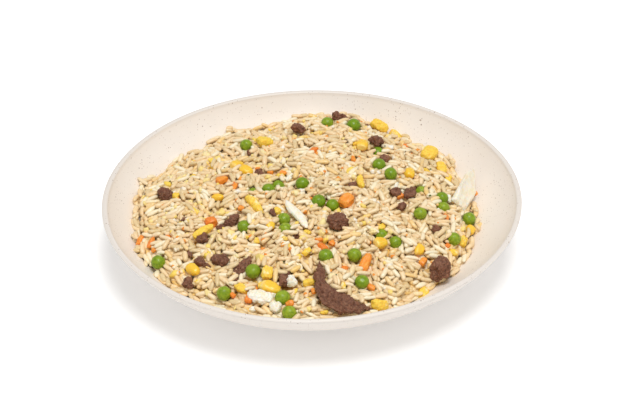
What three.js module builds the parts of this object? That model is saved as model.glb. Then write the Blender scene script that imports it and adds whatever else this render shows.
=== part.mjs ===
// A deep oval plate of pilaf: one piece of glazed stoneware, a heap of long-grain rice, and the
// peas, sweetcorn, beef, carrot and egg that lie in its top, each in a hollow of its own.
// Millimetres. +Z is up, and the origin is under the middle of the plate, on the table.
import * as THREE from 'three';

// ---------------------------------------------------------------- driving dimensions
// Plate: an oval that is a little flatter towards its near right side
const HALF_LENGTH = 131.9;
const HALF_DEPTH = 121.7;
const FLAT_SHARE = 0.077; // how much the flat side is drawn in
const FLAT_AT = -45; // degrees, from +X towards +Y
const FLAT_SPREAD = 70; // degrees
const PLATE_HEIGHT = 40;
const LIP_ROUND = 1.2; // height of the rounded edge of the rim
const LIP_SHARE = 0.028; // wall at the rim, as a share of the outline's radius
const FOOT_SHARE = 0.41; // outside of the foot ring, as a share of the outline's radius
const FOOT_WIDTH_SHARE = 0.035;
const FOOT_HEIGHT = 3;
const FOOT_CHAMFER = 0.6;
const RECESS_HEIGHT = 2; // hollow inside the foot ring
const FLOOR_HEIGHT = 7.5; // inside of the plate, at its middle
const WALL_TURN = 70; // degrees that the wall's arc turns through, from the foot to the rim
const WALL_STEPS = 6;

// Rice: a heap whose edge meets the wall at a height that differs round the plate
const RICE_LEVELS = [17, 21, 25, 22, 23, 23.5, 28, 17]; // every 45 degrees from +X towards +Y
const RICE_LEVEL_WOBBLE = 0.6; // how far the edge strays up and down the wall
const RICE_EDGE_RISE = 6; // how high the heap stands at its edge
const RICE_EDGE_SHARPNESS = 20; // how steeply
const RICE_DOME_RISE = 12; // how far its middle is above that
const RICE_RINGS = 30;
const RICE_EDGE_THICKNESS = 1.4;
const RICE_LEAST_DEPTH = 2;
const UNDERSIDE_SHARES = [1, 0.9, 0.78, 0.64, 0.5]; // its rings, from the edge inwards
const LUMP_HEIGHT = 1.5;
const CLEARANCE = 0.5; // between the rice and the plate
const PRESS_REACH = 2.6; // between the rice and what lies in it, measured from the middle of a face

// A cooked long grain, the size of the bumps on the heap
const GRAIN_LENGTH = 8;
const GRAIN_WIDTH = 2.8;
const GRAIN_HEIGHT = 1.9;
const GRAIN_COUNT = 1500;

// What lies in the rice, seen from above: the middle of each piece, its length, width and
// thickness, its heading in degrees from +X towards +Y, and its lift above the even heap.
const PEAS = [
  { at: [-42, 62], across: 8.2, lift: 0 },
  { at: [27, 85], across: 8.8, lift: 2 },
  { at: [-6, 13], across: 8.6, lift: 1 },
  { at: [-27, 8], across: 8.4, lift: 0 },
  { at: [42, 35], across: 8.6, lift: 1.5 },
  { at: [49, 25], across: 8.2, lift: 1 },
  { at: [4, -7], across: 8.4, lift: 1 },
  { at: [12.5, -8.5], across: 8, lift: -0.5 },
  { at: [-17, -23], across: 8.2, lift: 0.5 },
  { at: [-16, -33], across: 8.2, lift: 0.5 },
  { at: [-41, -28], across: 8, lift: 0 },
  { at: [-91.5, -51.5], across: 8.6, lift: 2.8 },
  { at: [-34.5, -70], across: 8.8, lift: 1 },
  { at: [-51, -85], across: 8.8, lift: 2 },
  { at: [-17, -91], across: 8.8, lift: 1.5 },
  { at: [-13, -102], across: 8.8, lift: 3 },
  { at: [8, -60], across: 8.6, lift: 1.5 },
  { at: [25, -54], across: 8.6, lift: 1 },
  { at: [29, -77], across: 8.4, lift: 1.5 },
  { at: [66, -10], across: 8.2, lift: 1 },
  { at: [80.5, 11.5], across: 8.2, lift: 1 },
  { at: [81, 3], across: 8, lift: 0.5 },
  { at: [97, -1], across: 8.6, lift: 3 },
  { at: [86, -25], across: 8.4, lift: 1.5 },
];
const CORN_KERNELS = [
  { at: [32, 58], size: [9.5, 8.5, 6.5], heading: 80, lift: 1.5 },
  { at: [61, 30], size: [9.5, 7, 6], heading: 85, lift: 1.5 },
  { at: [-70, -63.5], size: [11, 7.5, 6], heading: -50, lift: 2 },
  { at: [-24, -84], size: [11.5, 9.5, 6.5], heading: -20, lift: 2 },
  { at: [41, -41], size: [9.5, 8, 6], heading: 35, lift: 1.5 },
  { at: [-47, 37], size: [9, 7.5, 6], heading: 40, lift: 1 },
  { at: [-41, 28], size: [9, 7.5, 6], heading: -30, lift: 1 },
];
const EGG_YELLOW_PIECES = [
  { at: [-35, -10], size: [18, 6, 5], heading: -62, lift: 1.5 },
  { at: [-65, -33], size: [13, 5.5, 5], heading: 35, lift: 1.5 },
  { at: [-26, -73], size: [8, 7, 6], heading: 80, lift: 1.5 },
  { at: [-30, 63], size: [10, 8, 6.5], heading: 15, lift: 1 },
  { at: [44, 90], size: [12, 8, 7], heading: -15, lift: 4 },
  { at: [75, 58], size: [12, 10, 7.5], heading: 60, lift: 1.5 },
  { at: [39.5, -90.5], size: [11, 6.5, 5], heading: 15, lift: 2.2 },
];
const BEEF_CHUNKS = [
  { at: [-8, 78], size: [10, 6.5, 6], heading: -25, lift: 2 },
  { at: [18, 97], size: [13, 6, 6.5], heading: 25, lift: 3 },
  { at: [41, 65], size: [9, 8, 6], heading: -40, lift: 1.5 },
  { at: [60.5, 8], size: [12, 6.5, 5.5], heading: 70, lift: 1 },
  { at: [-91, 10], size: [12, 10, 7.5], heading: -50, lift: 1.5 },
  { at: [-48.5, -22], size: [11, 7, 6], heading: 30, lift: 0 },
  { at: [-64, -59], size: [12, 6, 6.5], heading: -45, lift: 1.5 },
  { at: [-54, -57], size: [9, 8.5, 7], heading: 40, lift: 2 },
  { at: [-73, -71], size: [9, 5.5, 5], heading: -50, lift: 0.5 },
  { at: [-42, -65], size: [19, 8, 5], heading: 58, lift: 0.5 },
  { at: [-15, -76], size: [12, 6, 6], heading: 75, lift: 1 },
];
const BIG_BEEF_CHUNKS = [
  { at: [15.5, -28.5], size: [13.5, 11.5, 9.5], heading: -45, lift: 2.5 },
  { at: [76.5, -54.5], size: [15, 12, 11], heading: 60, lift: 4.5 },
];
const CARROT_PIECES = [
  { at: [-61, -23], size: [6.5, 6, 5.5], heading: 20, lift: 1.5 },
  { at: [21, -6], size: [8.5, 7, 5.5], heading: 50, lift: 1 },
  { at: [31, -60], size: [14, 5, 4.5], heading: 70, lift: 1 },
];
const EGG_WHITE_CRUMB = { at: [-30, -91], size: [15, 9, 6], heading: -15, lift: 2 };

// Bent pieces, each along a smooth line through a few places.
const BEEF_SLICE = {
  line: [[4, -66], [5, -78], [7, -90.5], [13.5, -96.5], [24, -97.5], [35, -95]],
  widths: [4, 6.5, 10.5, 17, 11.5, 4],
  thickness: 5,
  lift: 2.5,
};
const EGG_WHITE_STRIP = {
  line: [[-16, -7], [-12, -15], [-7, -22], [-3, -31]],
  widths: [4, 6, 6, 5],
  thickness: 4,
  lift: 1.5,
};
// A flake of egg white that leans on the edge of the heap, as it lies flat, and where it stands
const FLAKE_OUTLINE = [[-6, -15], [4, -15], [8, 2], [5, 17], [-7, 5], [-8, -5]];
const FLAKE_THICKNESS = 2.4;
const FLAKE_PLACE = { at: [95, 23], lift: 8, heading: 0 };
const FLAKE_LEAN = 30; // degrees that its far end is raised

const SEGMENTS = 2 * RICE_RINGS; // facets round the plate: a third of those round the rice
const STRIP_STEPS = 9;

// ---------------------------------------------------------------- materials
const paint = (color, roughness) => new THREE.MeshStandardMaterial({ color, roughness, metalness: 0 });
const STONEWARE = paint(0xefe7dc, 0.35);
const RICE = paint(0xeadcb6, 0.45);
const PEA_SKIN = paint(0x5f9a24, 0.35);
const CORN = paint(0xf2bf2c, 0.35);
const EGG_YOLK = paint(0xf0b93a, 0.5);
const EGG_WHITE = paint(0xf5f1e2, 0.45);
const BEEF = paint(0x5f463c, 0.6);
const CARROT = paint(0xe08a35, 0.4);

// ---------------------------------------------------------------- small tools
const degrees = THREE.MathUtils.degToRad;
const lerp = THREE.MathUtils.lerp;
const TURN = 2 * Math.PI;

// Even random numbers from 0 to 1, the same on every run.
function randomSource(seed) {
  let state = seed;
  return () => {
    state = (state + 0x6d2b79f5) | 0;
    let t = Math.imul(state ^ (state >>> 15), 1 | state);
    t = (t + Math.imul(t ^ (t >>> 7), 61 | t)) ^ t;
    return ((t ^ (t >>> 14)) >>> 0) / 4294967296;
  };
}

function solid(points, faces) {
  const geometry = new THREE.BufferGeometry();
  geometry.setAttribute('position', new THREE.Float32BufferAttribute(points.flat(), 3));
  geometry.setIndex(faces.flat());
  return geometry;
}

// ---------------------------------------------------------------- the plate's outline and wall
function rawOutline(angle) {
  let off = angle - degrees(FLAT_AT);
  off = Math.atan2(Math.sin(off), Math.cos(off));
  const drawnIn = 1 - FLAT_SHARE * Math.exp(-((off / degrees(FLAT_SPREAD)) ** 2));
  return [HALF_LENGTH * Math.cos(angle) * drawnIn, HALF_DEPTH * Math.sin(angle) * drawnIn];
}

// The point half way between the outline's extremes, which becomes the origin's place.
function middleOf(axis) {
  const places = Array.from({ length: SEGMENTS }, (_, i) => rawOutline((i / SEGMENTS) * TURN)[axis]);
  return (Math.min(...places) + Math.max(...places)) / 2;
}
const MIDDLE = [middleOf(0), middleOf(1)];

// A point on the outline drawn in to a share of its size.
function ringPoint(angle, share) {
  const [x, y] = rawOutline(angle);
  return [x * share - MIDDLE[0], y * share - MIDDLE[1]];
}

// The plate's wall as {share, height} pairs on a quarter arc, from low and inside to the rim.
function wallArc(low, high) {
  const turn = degrees(WALL_TURN);
  return Array.from({ length: WALL_STEPS + 1 }, (_, i) => {
    const angle = (turn * i) / WALL_STEPS;
    return {
      share: lerp(low.share, high.share, Math.sin(angle) / Math.sin(turn)),
      height: lerp(low.height, high.height, (1 - Math.cos(angle)) / (1 - Math.cos(turn))),
    };
  });
}

const RIM_HEIGHT = PLATE_HEIGHT - LIP_ROUND;
const OUTER_WALL = wallArc(
  { share: FOOT_SHARE, height: FOOT_HEIGHT },
  { share: 1, height: RIM_HEIGHT },
);
const INNER_WALL = wallArc(
  { share: FOOT_SHARE, height: FLOOR_HEIGHT },
  { share: 1 - LIP_SHARE, height: RIM_HEIGHT },
);

// Straight-line reading of the inner wall, either way round.
function readWall(from, to, value) {
  const last = INNER_WALL.length - 1;
  let i = 0;
  while (i < last - 1 && INNER_WALL[i + 1][from] < value) i++;
  const [a, b] = [INNER_WALL[i], INNER_WALL[i + 1]];
  return lerp(a[to], b[to], THREE.MathUtils.clamp((value - a[from]) / (b[from] - a[from]), 0, 1));
}
const wallShare = (height) => readWall('height', 'share', height);
const wallHeight = (share) => readWall('share', 'height', share);

// A closed skin through rings of one size, from a pole at its first height to one at its last.
function loft(rings, firstPole, lastPole) {
  const points = rings.flatMap(({ share, height }) =>
    Array.from({ length: SEGMENTS }, (_, i) => [...ringPoint((i / SEGMENTS) * TURN, share), height]),
  );
  const faces = [];
  const at = (ring, i) => ring * SEGMENTS + (i % SEGMENTS);
  for (let ring = 0; ring + 1 < rings.length; ring++) {
    for (let i = 0; i < SEGMENTS; i++) {
      faces.push([at(ring, i), at(ring, i + 1), at(ring + 1, i + 1)]);
      faces.push([at(ring, i), at(ring + 1, i + 1), at(ring + 1, i)]);
    }
  }
  const [first, last] = [points.length, points.length + 1];
  points.push([...ringPoint(0, 0), firstPole], [...ringPoint(0, 0), lastPole]);
  for (let i = 0; i < SEGMENTS; i++) {
    faces.push([first, at(0, i + 1), at(0, i)]);
    faces.push([last, at(rings.length - 1, i), at(rings.length - 1, i + 1)]);
  }
  return solid(points, faces);
}

function makePlate() {
  const footInside = FOOT_SHARE - FOOT_WIDTH_SHARE;
  const chamfer = FOOT_CHAMFER / HALF_LENGTH;
  const foot = [
    { share: footInside - chamfer, height: RECESS_HEIGHT },
    { share: footInside, height: 0 },
    { share: FOOT_SHARE - chamfer, height: 0 },
    { share: FOOT_SHARE, height: FOOT_CHAMFER },
  ];
  const lip = [
    { share: 1 - LIP_SHARE * 0.25, height: PLATE_HEIGHT - LIP_ROUND * 0.1 },
    { share: 1 - LIP_SHARE * 0.5, height: PLATE_HEIGHT },
    { share: 1 - LIP_SHARE * 0.75, height: PLATE_HEIGHT - LIP_ROUND * 0.1 },
  ];
  const rings = [...foot, ...OUTER_WALL, ...lip, ...INNER_WALL.slice().reverse()];
  return loft(rings, RECESS_HEIGHT, FLOOR_HEIGHT);
}

// ---------------------------------------------------------------- the heap of rice
// The height at which the rice meets the wall: eased from each listed level to the next, unevenly.
function riceLevel(angle) {
  const count = RICE_LEVELS.length;
  const place = (((angle / TURN) % 1) + 1) * count;
  const from = Math.floor(place);
  const eased = (1 - Math.cos(Math.PI * (place - from))) / 2;
  const even = lerp(RICE_LEVELS[from % count], RICE_LEVELS[(from + 1) % count], eased);
  return even + RICE_LEVEL_WOBBLE * (Math.sin(9 * angle + 1) + Math.sin(14 * angle + 4));
}
const MEAN_LEVEL = RICE_LEVELS.reduce((sum, level) => sum + level, 0) / RICE_LEVELS.length;

// Angle, and distance out from the middle as a share of the way to the edge of the rice.
function heapPlace(x, y) {
  const [px, py] = [x + MIDDLE[0], y + MIDDLE[1]];
  const angle = Math.atan2(py * HALF_LENGTH, px * HALF_DEPTH);
  const edge = Math.hypot(...rawOutline(angle)) * wallShare(riceLevel(angle));
  return { angle, out: Math.hypot(px, py) / edge };
}

// The even form of the heap, with its broad lumps and without its grains.
function heapHeight(x, y) {
  const { angle, out } = heapPlace(x, y);
  const level = lerp(MEAN_LEVEL, riceLevel(angle), Math.min(1, out) ** 2);
  const rise = RICE_DOME_RISE * (1 - out ** 2) + RICE_EDGE_RISE * (1 - out ** RICE_EDGE_SHARPNESS);
  const lumps = Math.sin(x / 9 + y / 14) + Math.sin(y / 8 - x / 17 + 2) + Math.sin((x + y) / 6.5 + 4);
  return level + rise + (LUMP_HEIGHT / 2) * lumps * (1 - out ** 6);
}

// Grains strewn evenly over the heap, each a low ridge of its own length and heading.
function strewGrains() {
  const random = randomSource(7);
  return Array.from({ length: GRAIN_COUNT }, () => {
    const out = Math.sqrt(random());
    const angle = random() * TURN;
    const [x, y] = ringPoint(angle, out * wallShare(riceLevel(angle)));
    return { x, y, heading: random() * Math.PI, lift: 0.4 * random() };
  });
}

function bumpHeight(grains, x, y) {
  let height = 0;
  for (const grain of grains) {
    const [dx, dy] = [x - grain.x, y - grain.y];
    if (Math.abs(dx) > GRAIN_LENGTH / 2 || Math.abs(dy) > GRAIN_LENGTH / 2) continue;
    const along = dx * Math.cos(grain.heading) + dy * Math.sin(grain.heading);
    const across = dy * Math.cos(grain.heading) - dx * Math.sin(grain.heading);
    const inside = 1 - (along / (GRAIN_LENGTH / 2)) ** 2 - (across / (GRAIN_WIDTH / 2)) ** 2;
    if (inside > 0) height = Math.max(height, GRAIN_HEIGHT * (Math.sqrt(inside) + grain.lift));
  }
  return height - GRAIN_HEIGHT / 2;
}

// Lowers a point of the heap until it lies clear under every sample of what is pressed into it.
function pressedHeight(height, x, y, samples) {
  let pressed = height;
  for (const sample of samples) {
    const away = Math.hypot(sample.x - x, sample.y - y);
    if (away < PRESS_REACH) pressed = Math.min(pressed, sample.z - Math.sqrt(PRESS_REACH ** 2 - away ** 2));
  }
  return pressed;
}

function makeRice(samples) {
  const grains = strewGrains();
  const points = [];
  const faces = [];

  // Top: ring n holds 6n points, so that the faces are of one size all over.
  const ringStart = (ring) => (ring === 0 ? 0 : 1 + 3 * ring * (ring - 1));
  for (let ring = 0; ring <= RICE_RINGS; ring++) {
    const count = Math.max(1, 6 * ring);
    for (let i = 0; i < count; i++) {
      const angle = (i / count) * TURN;
      const share = (ring / RICE_RINGS) * wallShare(riceLevel(angle));
      const [x, y] = ringPoint(angle, share);
      const isEdge = ring === RICE_RINGS;
      const loose = heapHeight(x, y) + bumpHeight(grains, x, y);
      const least = wallHeight(share) + CLEARANCE + (isEdge ? RICE_EDGE_THICKNESS : RICE_LEAST_DEPTH);
      const height = isEdge ? least : Math.max(least, pressedHeight(loose, x, y, samples));
      points.push([x, y, height]);
    }
  }
  for (let ring = 1; ring <= RICE_RINGS; ring++) {
    const [inner, outer] = [ringStart(ring - 1), ringStart(ring)];
    const [innerCount, outerCount] = [Math.max(1, 6 * (ring - 1)), 6 * ring];
    for (let side = 0; side < 6; side++) {
      for (let i = 0; i < ring; i++) {
        const a = inner + ((side * (ring - 1) + i) % innerCount);
        const b = outer + ((side * ring + i) % outerCount);
        const c = outer + ((side * ring + i + 1) % outerCount);
        faces.push([a, b, c]);
        if (i < ring - 1) faces.push([a, c, inner + ((side * (ring - 1) + i + 1) % innerCount)]);
      }
    }
  }

  // Underside: rings that follow the inside of the plate, from the edge of the rice to its middle.
  const underStart = points.length;
  for (const part of UNDERSIDE_SHARES) {
    for (let i = 0; i < SEGMENTS; i++) {
      const angle = (i / SEGMENTS) * TURN;
      const share = part * wallShare(riceLevel(angle));
      points.push([...ringPoint(angle, share), wallHeight(share) + CLEARANCE]);
    }
  }
  const edgeStart = ringStart(RICE_RINGS);
  const edgeCount = 6 * RICE_RINGS;
  const perSegment = edgeCount / SEGMENTS;
  const under = (ring, i) => underStart + ring * SEGMENTS + (i % SEGMENTS);
  for (let i = 0; i < SEGMENTS; i++) {
    for (let n = 0; n < perSegment; n++) {
      const from = perSegment * i + n;
      faces.push([under(0, i), edgeStart + ((from + 1) % edgeCount), edgeStart + from]);
    }
    faces.push([under(0, i), under(0, i + 1), edgeStart + ((perSegment * (i + 1)) % edgeCount)]);
    for (let ring = 0; ring + 1 < UNDERSIDE_SHARES.length; ring++) {
      faces.push([under(ring, i), under(ring + 1, i), under(ring + 1, i + 1)]);
      faces.push([under(ring, i), under(ring + 1, i + 1), under(ring, i + 1)]);
    }
  }
  const middle = points.length;
  points.push([...ringPoint(0, 0), FLOOR_HEIGHT + CLEARANCE]);
  const lastRing = UNDERSIDE_SHARES.length - 1;
  for (let i = 0; i < SEGMENTS; i++) faces.push([under(lastRing, i), middle, under(lastRing, i + 1)]);
  return solid(points, faces);
}

// ---------------------------------------------------------------- what lies in the rice
// A rounded lump on the faces of a ball: squarer with a higher corner, narrower towards one end,
// and uneven by smooth waves over its surface.
function makeLump({ size, corner, narrow, uneven, detail }, seed) {
  const geometry = new THREE.IcosahedronGeometry(1, detail);
  const place = geometry.attributes.position;
  for (let i = 0; i < place.count; i++) {
    const [x, y, z] = [place.getX(i), place.getY(i), place.getZ(i)];
    const reach = (Math.abs(x) ** corner + Math.abs(y) ** corner + Math.abs(z) ** corner) ** (-1 / corner);
    const waves = Math.sin(3 * x + seed) + Math.sin(4 * y + 2 * seed) + Math.sin(5 * z + 3 * seed);
    const scale = (reach * (1 + uneven * waves)) / 2;
    const taper = lerp(1, narrow, (1 + x) / 2);
    place.setXYZ(i, x * scale * size[0], y * scale * taper * size[1], z * scale * taper * size[2]);
  }
  return geometry;
}

// Stands a mesh on the heap, square to its slope, at a heading and a small seeded tilt.
function lay(mesh, { at, heading, lift }, tilt, random) {
  const [x, y] = at;
  const slopeX = (heapHeight(x + 3, y) - heapHeight(x - 3, y)) / 6;
  const slopeY = (heapHeight(x, y + 3) - heapHeight(x, y - 3)) / 6;
  const upright = new THREE.Vector3(-slopeX, -slopeY, 1).normalize();
  const turn = new THREE.Euler(tilt * (random() - 0.5), tilt * (random() - 0.5), degrees(heading), 'ZYX');
  mesh.position.set(x, y, heapHeight(x, y) + lift);
  mesh.quaternion.setFromUnitVectors(new THREE.Vector3(0, 0, 1), upright);
  mesh.quaternion.multiply(new THREE.Quaternion().setFromEuler(turn));
}

// A strip with a rounded section, along a smooth line over the heap, thinner at its ends.
function makeStrip({ line, widths, thickness, lift }) {
  const curve = new THREE.CatmullRomCurve3(
    line.map(([x, y]) => new THREE.Vector3(x, y, heapHeight(x, y) + lift)),
  );
  const geometry = new THREE.CylinderGeometry(1, 1, 1, 8, STRIP_STEPS);
  const place = geometry.attributes.position;
  const up = new THREE.Vector3(0, 0, 1);
  for (let i = 0; i < place.count; i++) {
    const along = place.getY(i) + 0.5;
    const step = Math.min(along * (widths.length - 1), widths.length - 1.001);
    const width = lerp(widths[Math.floor(step)], widths[Math.floor(step) + 1], step % 1);
    const end = Math.sqrt(1.1 - Math.abs(2 * along - 1) ** 5);
    const side = curve.getTangent(along).cross(up).normalize();
    const point = curve.getPoint(along);
    point.addScaledVector(side, (place.getX(i) * width * end) / 2);
    point.addScaledVector(up, (place.getZ(i) * thickness * end) / 2);
    place.setXYZ(i, point.x, point.y, point.z);
  }
  return geometry;
}

function makeFlake() {
  const outline = new THREE.Shape(FLAKE_OUTLINE.map(([x, y]) => new THREE.Vector2(x, y)));
  const geometry = new THREE.ExtrudeGeometry(outline, {
    depth: FLAKE_THICKNESS / 2,
    bevelSize: 1,
    bevelThickness: FLAKE_THICKNESS / 4,
    bevelSegments: 1,
  });
  return geometry.translate(0, 0, -FLAKE_THICKNESS / 4);
}

// Where the rice has to stay clear of a mesh: its corners, and the middles of its edges and faces.
function samplesOf(mesh) {
  mesh.updateMatrixWorld(true);
  const geometry = mesh.geometry.index ? mesh.geometry.toNonIndexed() : mesh.geometry;
  const place = geometry.attributes.position;
  const samples = [];
  for (let i = 0; i < place.count; i += 3) {
    const corners = [0, 1, 2].map((n) =>
      new THREE.Vector3().fromBufferAttribute(place, i + n).applyMatrix4(mesh.matrixWorld),
    );
    const middles = corners.map((corner, n) => corner.clone().lerp(corners[(n + 1) % 3], 0.5));
    const centre = corners[0].clone().add(corners[1]).add(corners[2]).divideScalar(3);
    samples.push(...corners, ...middles, centre);
  }
  return samples;
}

// ---------------------------------------------------------------- the whole plate
const pilaf = new THREE.Group();
const random = randomSource(3);
const toppings = [];

function add(name, geometry, material) {
  const mesh = new THREE.Mesh(geometry, material);
  mesh.name = name;
  pilaf.add(mesh);
  return mesh;
}

function addTopping(name, geometry, material) {
  const mesh = add(name, geometry, material);
  toppings.push(mesh);
  return mesh;
}

// Adds one kind of lump, numbered from 1.
function addLumps(kind, pieces, form, material, tilt) {
  pieces.forEach((piece, i) => {
    const geometry = makeLump({ ...form, size: piece.size }, 10 * random());
    const mesh = addTopping(`${kind}_${String(i + 1).padStart(2, '0')}`, geometry, material);
    lay(mesh, piece, tilt, random);
  });
}

const round = { corner: 2, narrow: 1, uneven: 0.012, detail: 1 };
const kernel = { corner: 2.4, narrow: 0.7, uneven: 0.02, detail: 1 };
const crumbly = { corner: 3, narrow: 0.85, uneven: 0.05, detail: 1 };
const diced = { corner: 4, narrow: 0.95, uneven: 0.02, detail: 1 };

const balls = PEAS.map((pea) => ({ ...pea, size: [pea.across, pea.across, pea.across * 0.94], heading: 0 }));
addLumps('pea', balls, round, PEA_SKIN, 1);
addLumps('corn', CORN_KERNELS, kernel, CORN, 0.5);
addLumps('egg_yellow', EGG_YELLOW_PIECES, crumbly, EGG_YOLK, 0.4);
addLumps('beef', BEEF_CHUNKS, crumbly, BEEF, 0.4);
addLumps('big_beef', BIG_BEEF_CHUNKS, { ...crumbly, detail: 2 }, BEEF, 0.3);
addLumps('carrot', CARROT_PIECES, diced, CARROT, 0.4);
addLumps('egg_white', [EGG_WHITE_CRUMB], crumbly, EGG_WHITE, 0.2);
addTopping('beef_slice', makeStrip(BEEF_SLICE), BEEF);
addTopping('egg_white_strip', makeStrip(EGG_WHITE_STRIP), EGG_WHITE);
const flake = addTopping('egg_white_flake', makeFlake(), EGG_WHITE);
lay(flake, FLAKE_PLACE, 0, random);
flake.rotateX(degrees(FLAKE_LEAN));

add('plate', makePlate(), STONEWARE);
add('rice', makeRice(toppings.flatMap(samplesOf)), RICE);

export default pilaf;
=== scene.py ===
"""A deep oval stoneware plate of pilaf, finished for its render.

The plate, the heap of long-grain rice and every topping are made here over the solids of the
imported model, each in its solid's place. Blender's lengths are metres; the shapes are worked
out in millimetres.
"""

import math

import bmesh
import bpy
import numpy as np
from bpy.props import FloatProperty, FloatVectorProperty, IntProperty, PointerProperty
from bpy.types import Operator, Panel, PropertyGroup
from mathutils import Matrix, Vector, noise


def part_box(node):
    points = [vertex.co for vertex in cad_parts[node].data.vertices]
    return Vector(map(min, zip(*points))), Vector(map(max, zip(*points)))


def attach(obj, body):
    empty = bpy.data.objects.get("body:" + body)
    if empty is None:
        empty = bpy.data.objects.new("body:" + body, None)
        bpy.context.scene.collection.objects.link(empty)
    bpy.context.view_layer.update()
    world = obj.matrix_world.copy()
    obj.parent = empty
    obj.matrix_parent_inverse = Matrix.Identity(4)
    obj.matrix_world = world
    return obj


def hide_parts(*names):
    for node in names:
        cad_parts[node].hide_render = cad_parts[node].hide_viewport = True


bl_info = {
    "name": "Plate of meat pilaf",
    "version": (1, 0, 0),
    "blender": (4, 5, 0),
    "location": "3D View > Sidebar > Pilaf",
    "description": "Makes a stoneware plate heaped with rice, peas, corn, egg, carrot and beef",
    "category": "Object",
}

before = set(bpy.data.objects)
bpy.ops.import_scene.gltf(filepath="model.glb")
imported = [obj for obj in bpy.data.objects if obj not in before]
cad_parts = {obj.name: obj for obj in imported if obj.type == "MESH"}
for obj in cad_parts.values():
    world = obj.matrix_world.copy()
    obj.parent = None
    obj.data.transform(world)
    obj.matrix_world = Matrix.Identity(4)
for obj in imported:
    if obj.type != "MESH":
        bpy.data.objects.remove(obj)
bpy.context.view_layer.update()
MM = 0.001
TURN = 2 * math.pi

# ---- the plate's outline and wall
# Lengths are in millimetres. A share is a part of the outline's size.
HALF_LENGTH = 131.9
HALF_DEPTH = 121.7
FLAT_SHARE = 0.077  # how much the near right side is drawn in, where, and how far round
FLAT_AT = math.radians(-45)
FLAT_SPREAD = math.radians(70)
MIDDLE = (-3.208, 2.960)  # of the finished outline, from the oval's own middle
PLATE_HEIGHT = 40
LIP_ROUND = 1.2
LIP_SHARE = 0.028
FOOT_SHARE = 0.41
FOOT_WIDTH_SHARE = 0.035
FOOT_HEIGHT = 3
RECESS_HEIGHT = 2
FLOOR_HEIGHT = 7.5
WALL_TURN = math.radians(70)

# The heap of rice: its heights where it meets the wall, round the plate from the right
RICE_LEVELS = np.array([17, 21, 25, 22, 23, 23.5, 28, 17])
RICE_LEVEL_WOBBLE = 0.6
RICE_EDGE_RISE = 6
RICE_EDGE_SHARPNESS = 20
RICE_DOME_RISE = 12
LUMP_HEIGHT = 1.5
BED_SHARE = 0.968  # how far out the bed under the loose grains reaches
BED_DEPTH = 3.6  # from the top of the loose grains down to the bed they lie on
BED_GAP = 0.4  # that the bed keeps from the toppings and the wall

# The surface of the loose grains, against the heap's even form
DIP_DEPTH = 4.5  # how far the crest at the back is lowered, with its middle and its breadth
DIP_MIDDLE = (-28, 85)
DIP_BREADTH = (32, 15)
CLUMPS_FROM = (-70, 30)  # places from the front to the back, and how high clumps stand there
CLUMP_HEIGHTS = (2.8, 1.2)
GRAIN_DROP = 0.5  # from the heap's form down to the middles of the top grains
WALL_GAP = 2.2  # from the wall up to those at the edge
EDGE_SHARE = 0.995  # how far out the grains reach at least, and how much farther in places
EDGE_STRAY = 0.025

# Peas that are almost buried: where they lie, their size and their lift.
HIDDEN_PEAS = [
    (10, 90, 8.2, -1.4), (-21, 16, 8, -2.2), (-36, 8, 8, -2.4), (42, 56, 8, -2.2),
    (-54, -53, 7.6, -2.4), (50, -37, 8, -1.6), (42, -32, 8, -2.2), (68, 17, 7.6, -2.4),
]  # fmt: skip
# Scraps too small for solids of their own: where they lie, length, width, heading and lift.
CORN_SCRAPS = [
    (64, -42, 8, 6, 20, 0.6), (-58, 2, 8, 5, 30, 0.4), (97, -10, 6.5, 6, 80, 1),
    (-25, -30, 6, 5, 10, 0.2),
]  # fmt: skip
YOLK_SCRAPS = [
    (42, -28, 5.6, 3.7, 15, 0.6), (82, 44, 11, 7, 20, 1.3), (86, 36, 10, 4, -20, 1.3),
    (72, 37, 5.6, 3.1, 10, 0.5), (-88, 55, 4.5, 4.2, 0, 0.8), (-75, 29, 7.4, 3, 25, 0.6),
    (-84, 8, 5, 5, 60, 0.6), (-21, -16, 5.6, 5, 0, 0.6), (-3, -34, 5.6, 3.1, 15, 0.6),
    (-3, -56, 7.4, 3.4, 80, 0.8), (-14, -50, 5.6, 3.7, 0, 0.6), (-2, -79, 6.8, 5.6, 70, 0.8),
    (65, -67, 9.9, 5.6, 20, 1.2), (7, -103, 5, 3.1, 10, 1), (-41, -83, 10.5, 5, 10, 0.9),
    (85, -33, 5.6, 5, 40, 0.8), (-29, -81, 5, 5, 0, 0.6), (30, 16, 12, 5, -30, 1.5),
    (92, -23, 7.4, 5, 30, 1), (55, 88, 11, 7, -10, 1.6), (27, 60, 5, 4, 40, 0.4),
    (-62, 38, 5, 3.6, 60, 0.4), (-33, -40, 5, 3.4, 120, 0.4), (18, -83, 5.4, 3.6, 40, 0.5),
]  # fmt: skip
BEEF_SCRAPS = [
    (35, 91, 5.6, 5, 0, 0.8), (46, 47, 6.8, 5, 20, 0.5), (25, 10, 6.8, 4.3, -30, 0.8),
    (52, 8, 6.8, 5.6, 30, 0.6), (-65, -38, 7.4, 6.2, 0, -0.6), (-24, -18, 5.6, 3.7, -20, 0.6),
    (-9, -38, 8, 6.8, 70, 0.4), (76, -21, 8.7, 3.3, -15, 0.6), (54, -3, 7.4, 4.6, 70, 0.5),
    (-33, 29, 7, 5.6, 80, 0.2), (-39, 54, 5, 3.7, 0, 0.5), (61, 59, 3.7, 3.1, 60, 0.6),
    (20, 62, 4.3, 3.7, 0, 0.6), (-78, -18, 5, 3.1, 0, 0.6), (-72, -49, 5.6, 3.7, -30, 0.5),
    (38, -26, 7.4, 3.1, 85, 0.2), (-55, -28, 5, 3.7, 10, 0), (60, -40, 4, 3, 30, -0.2),
]  # fmt: skip
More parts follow.
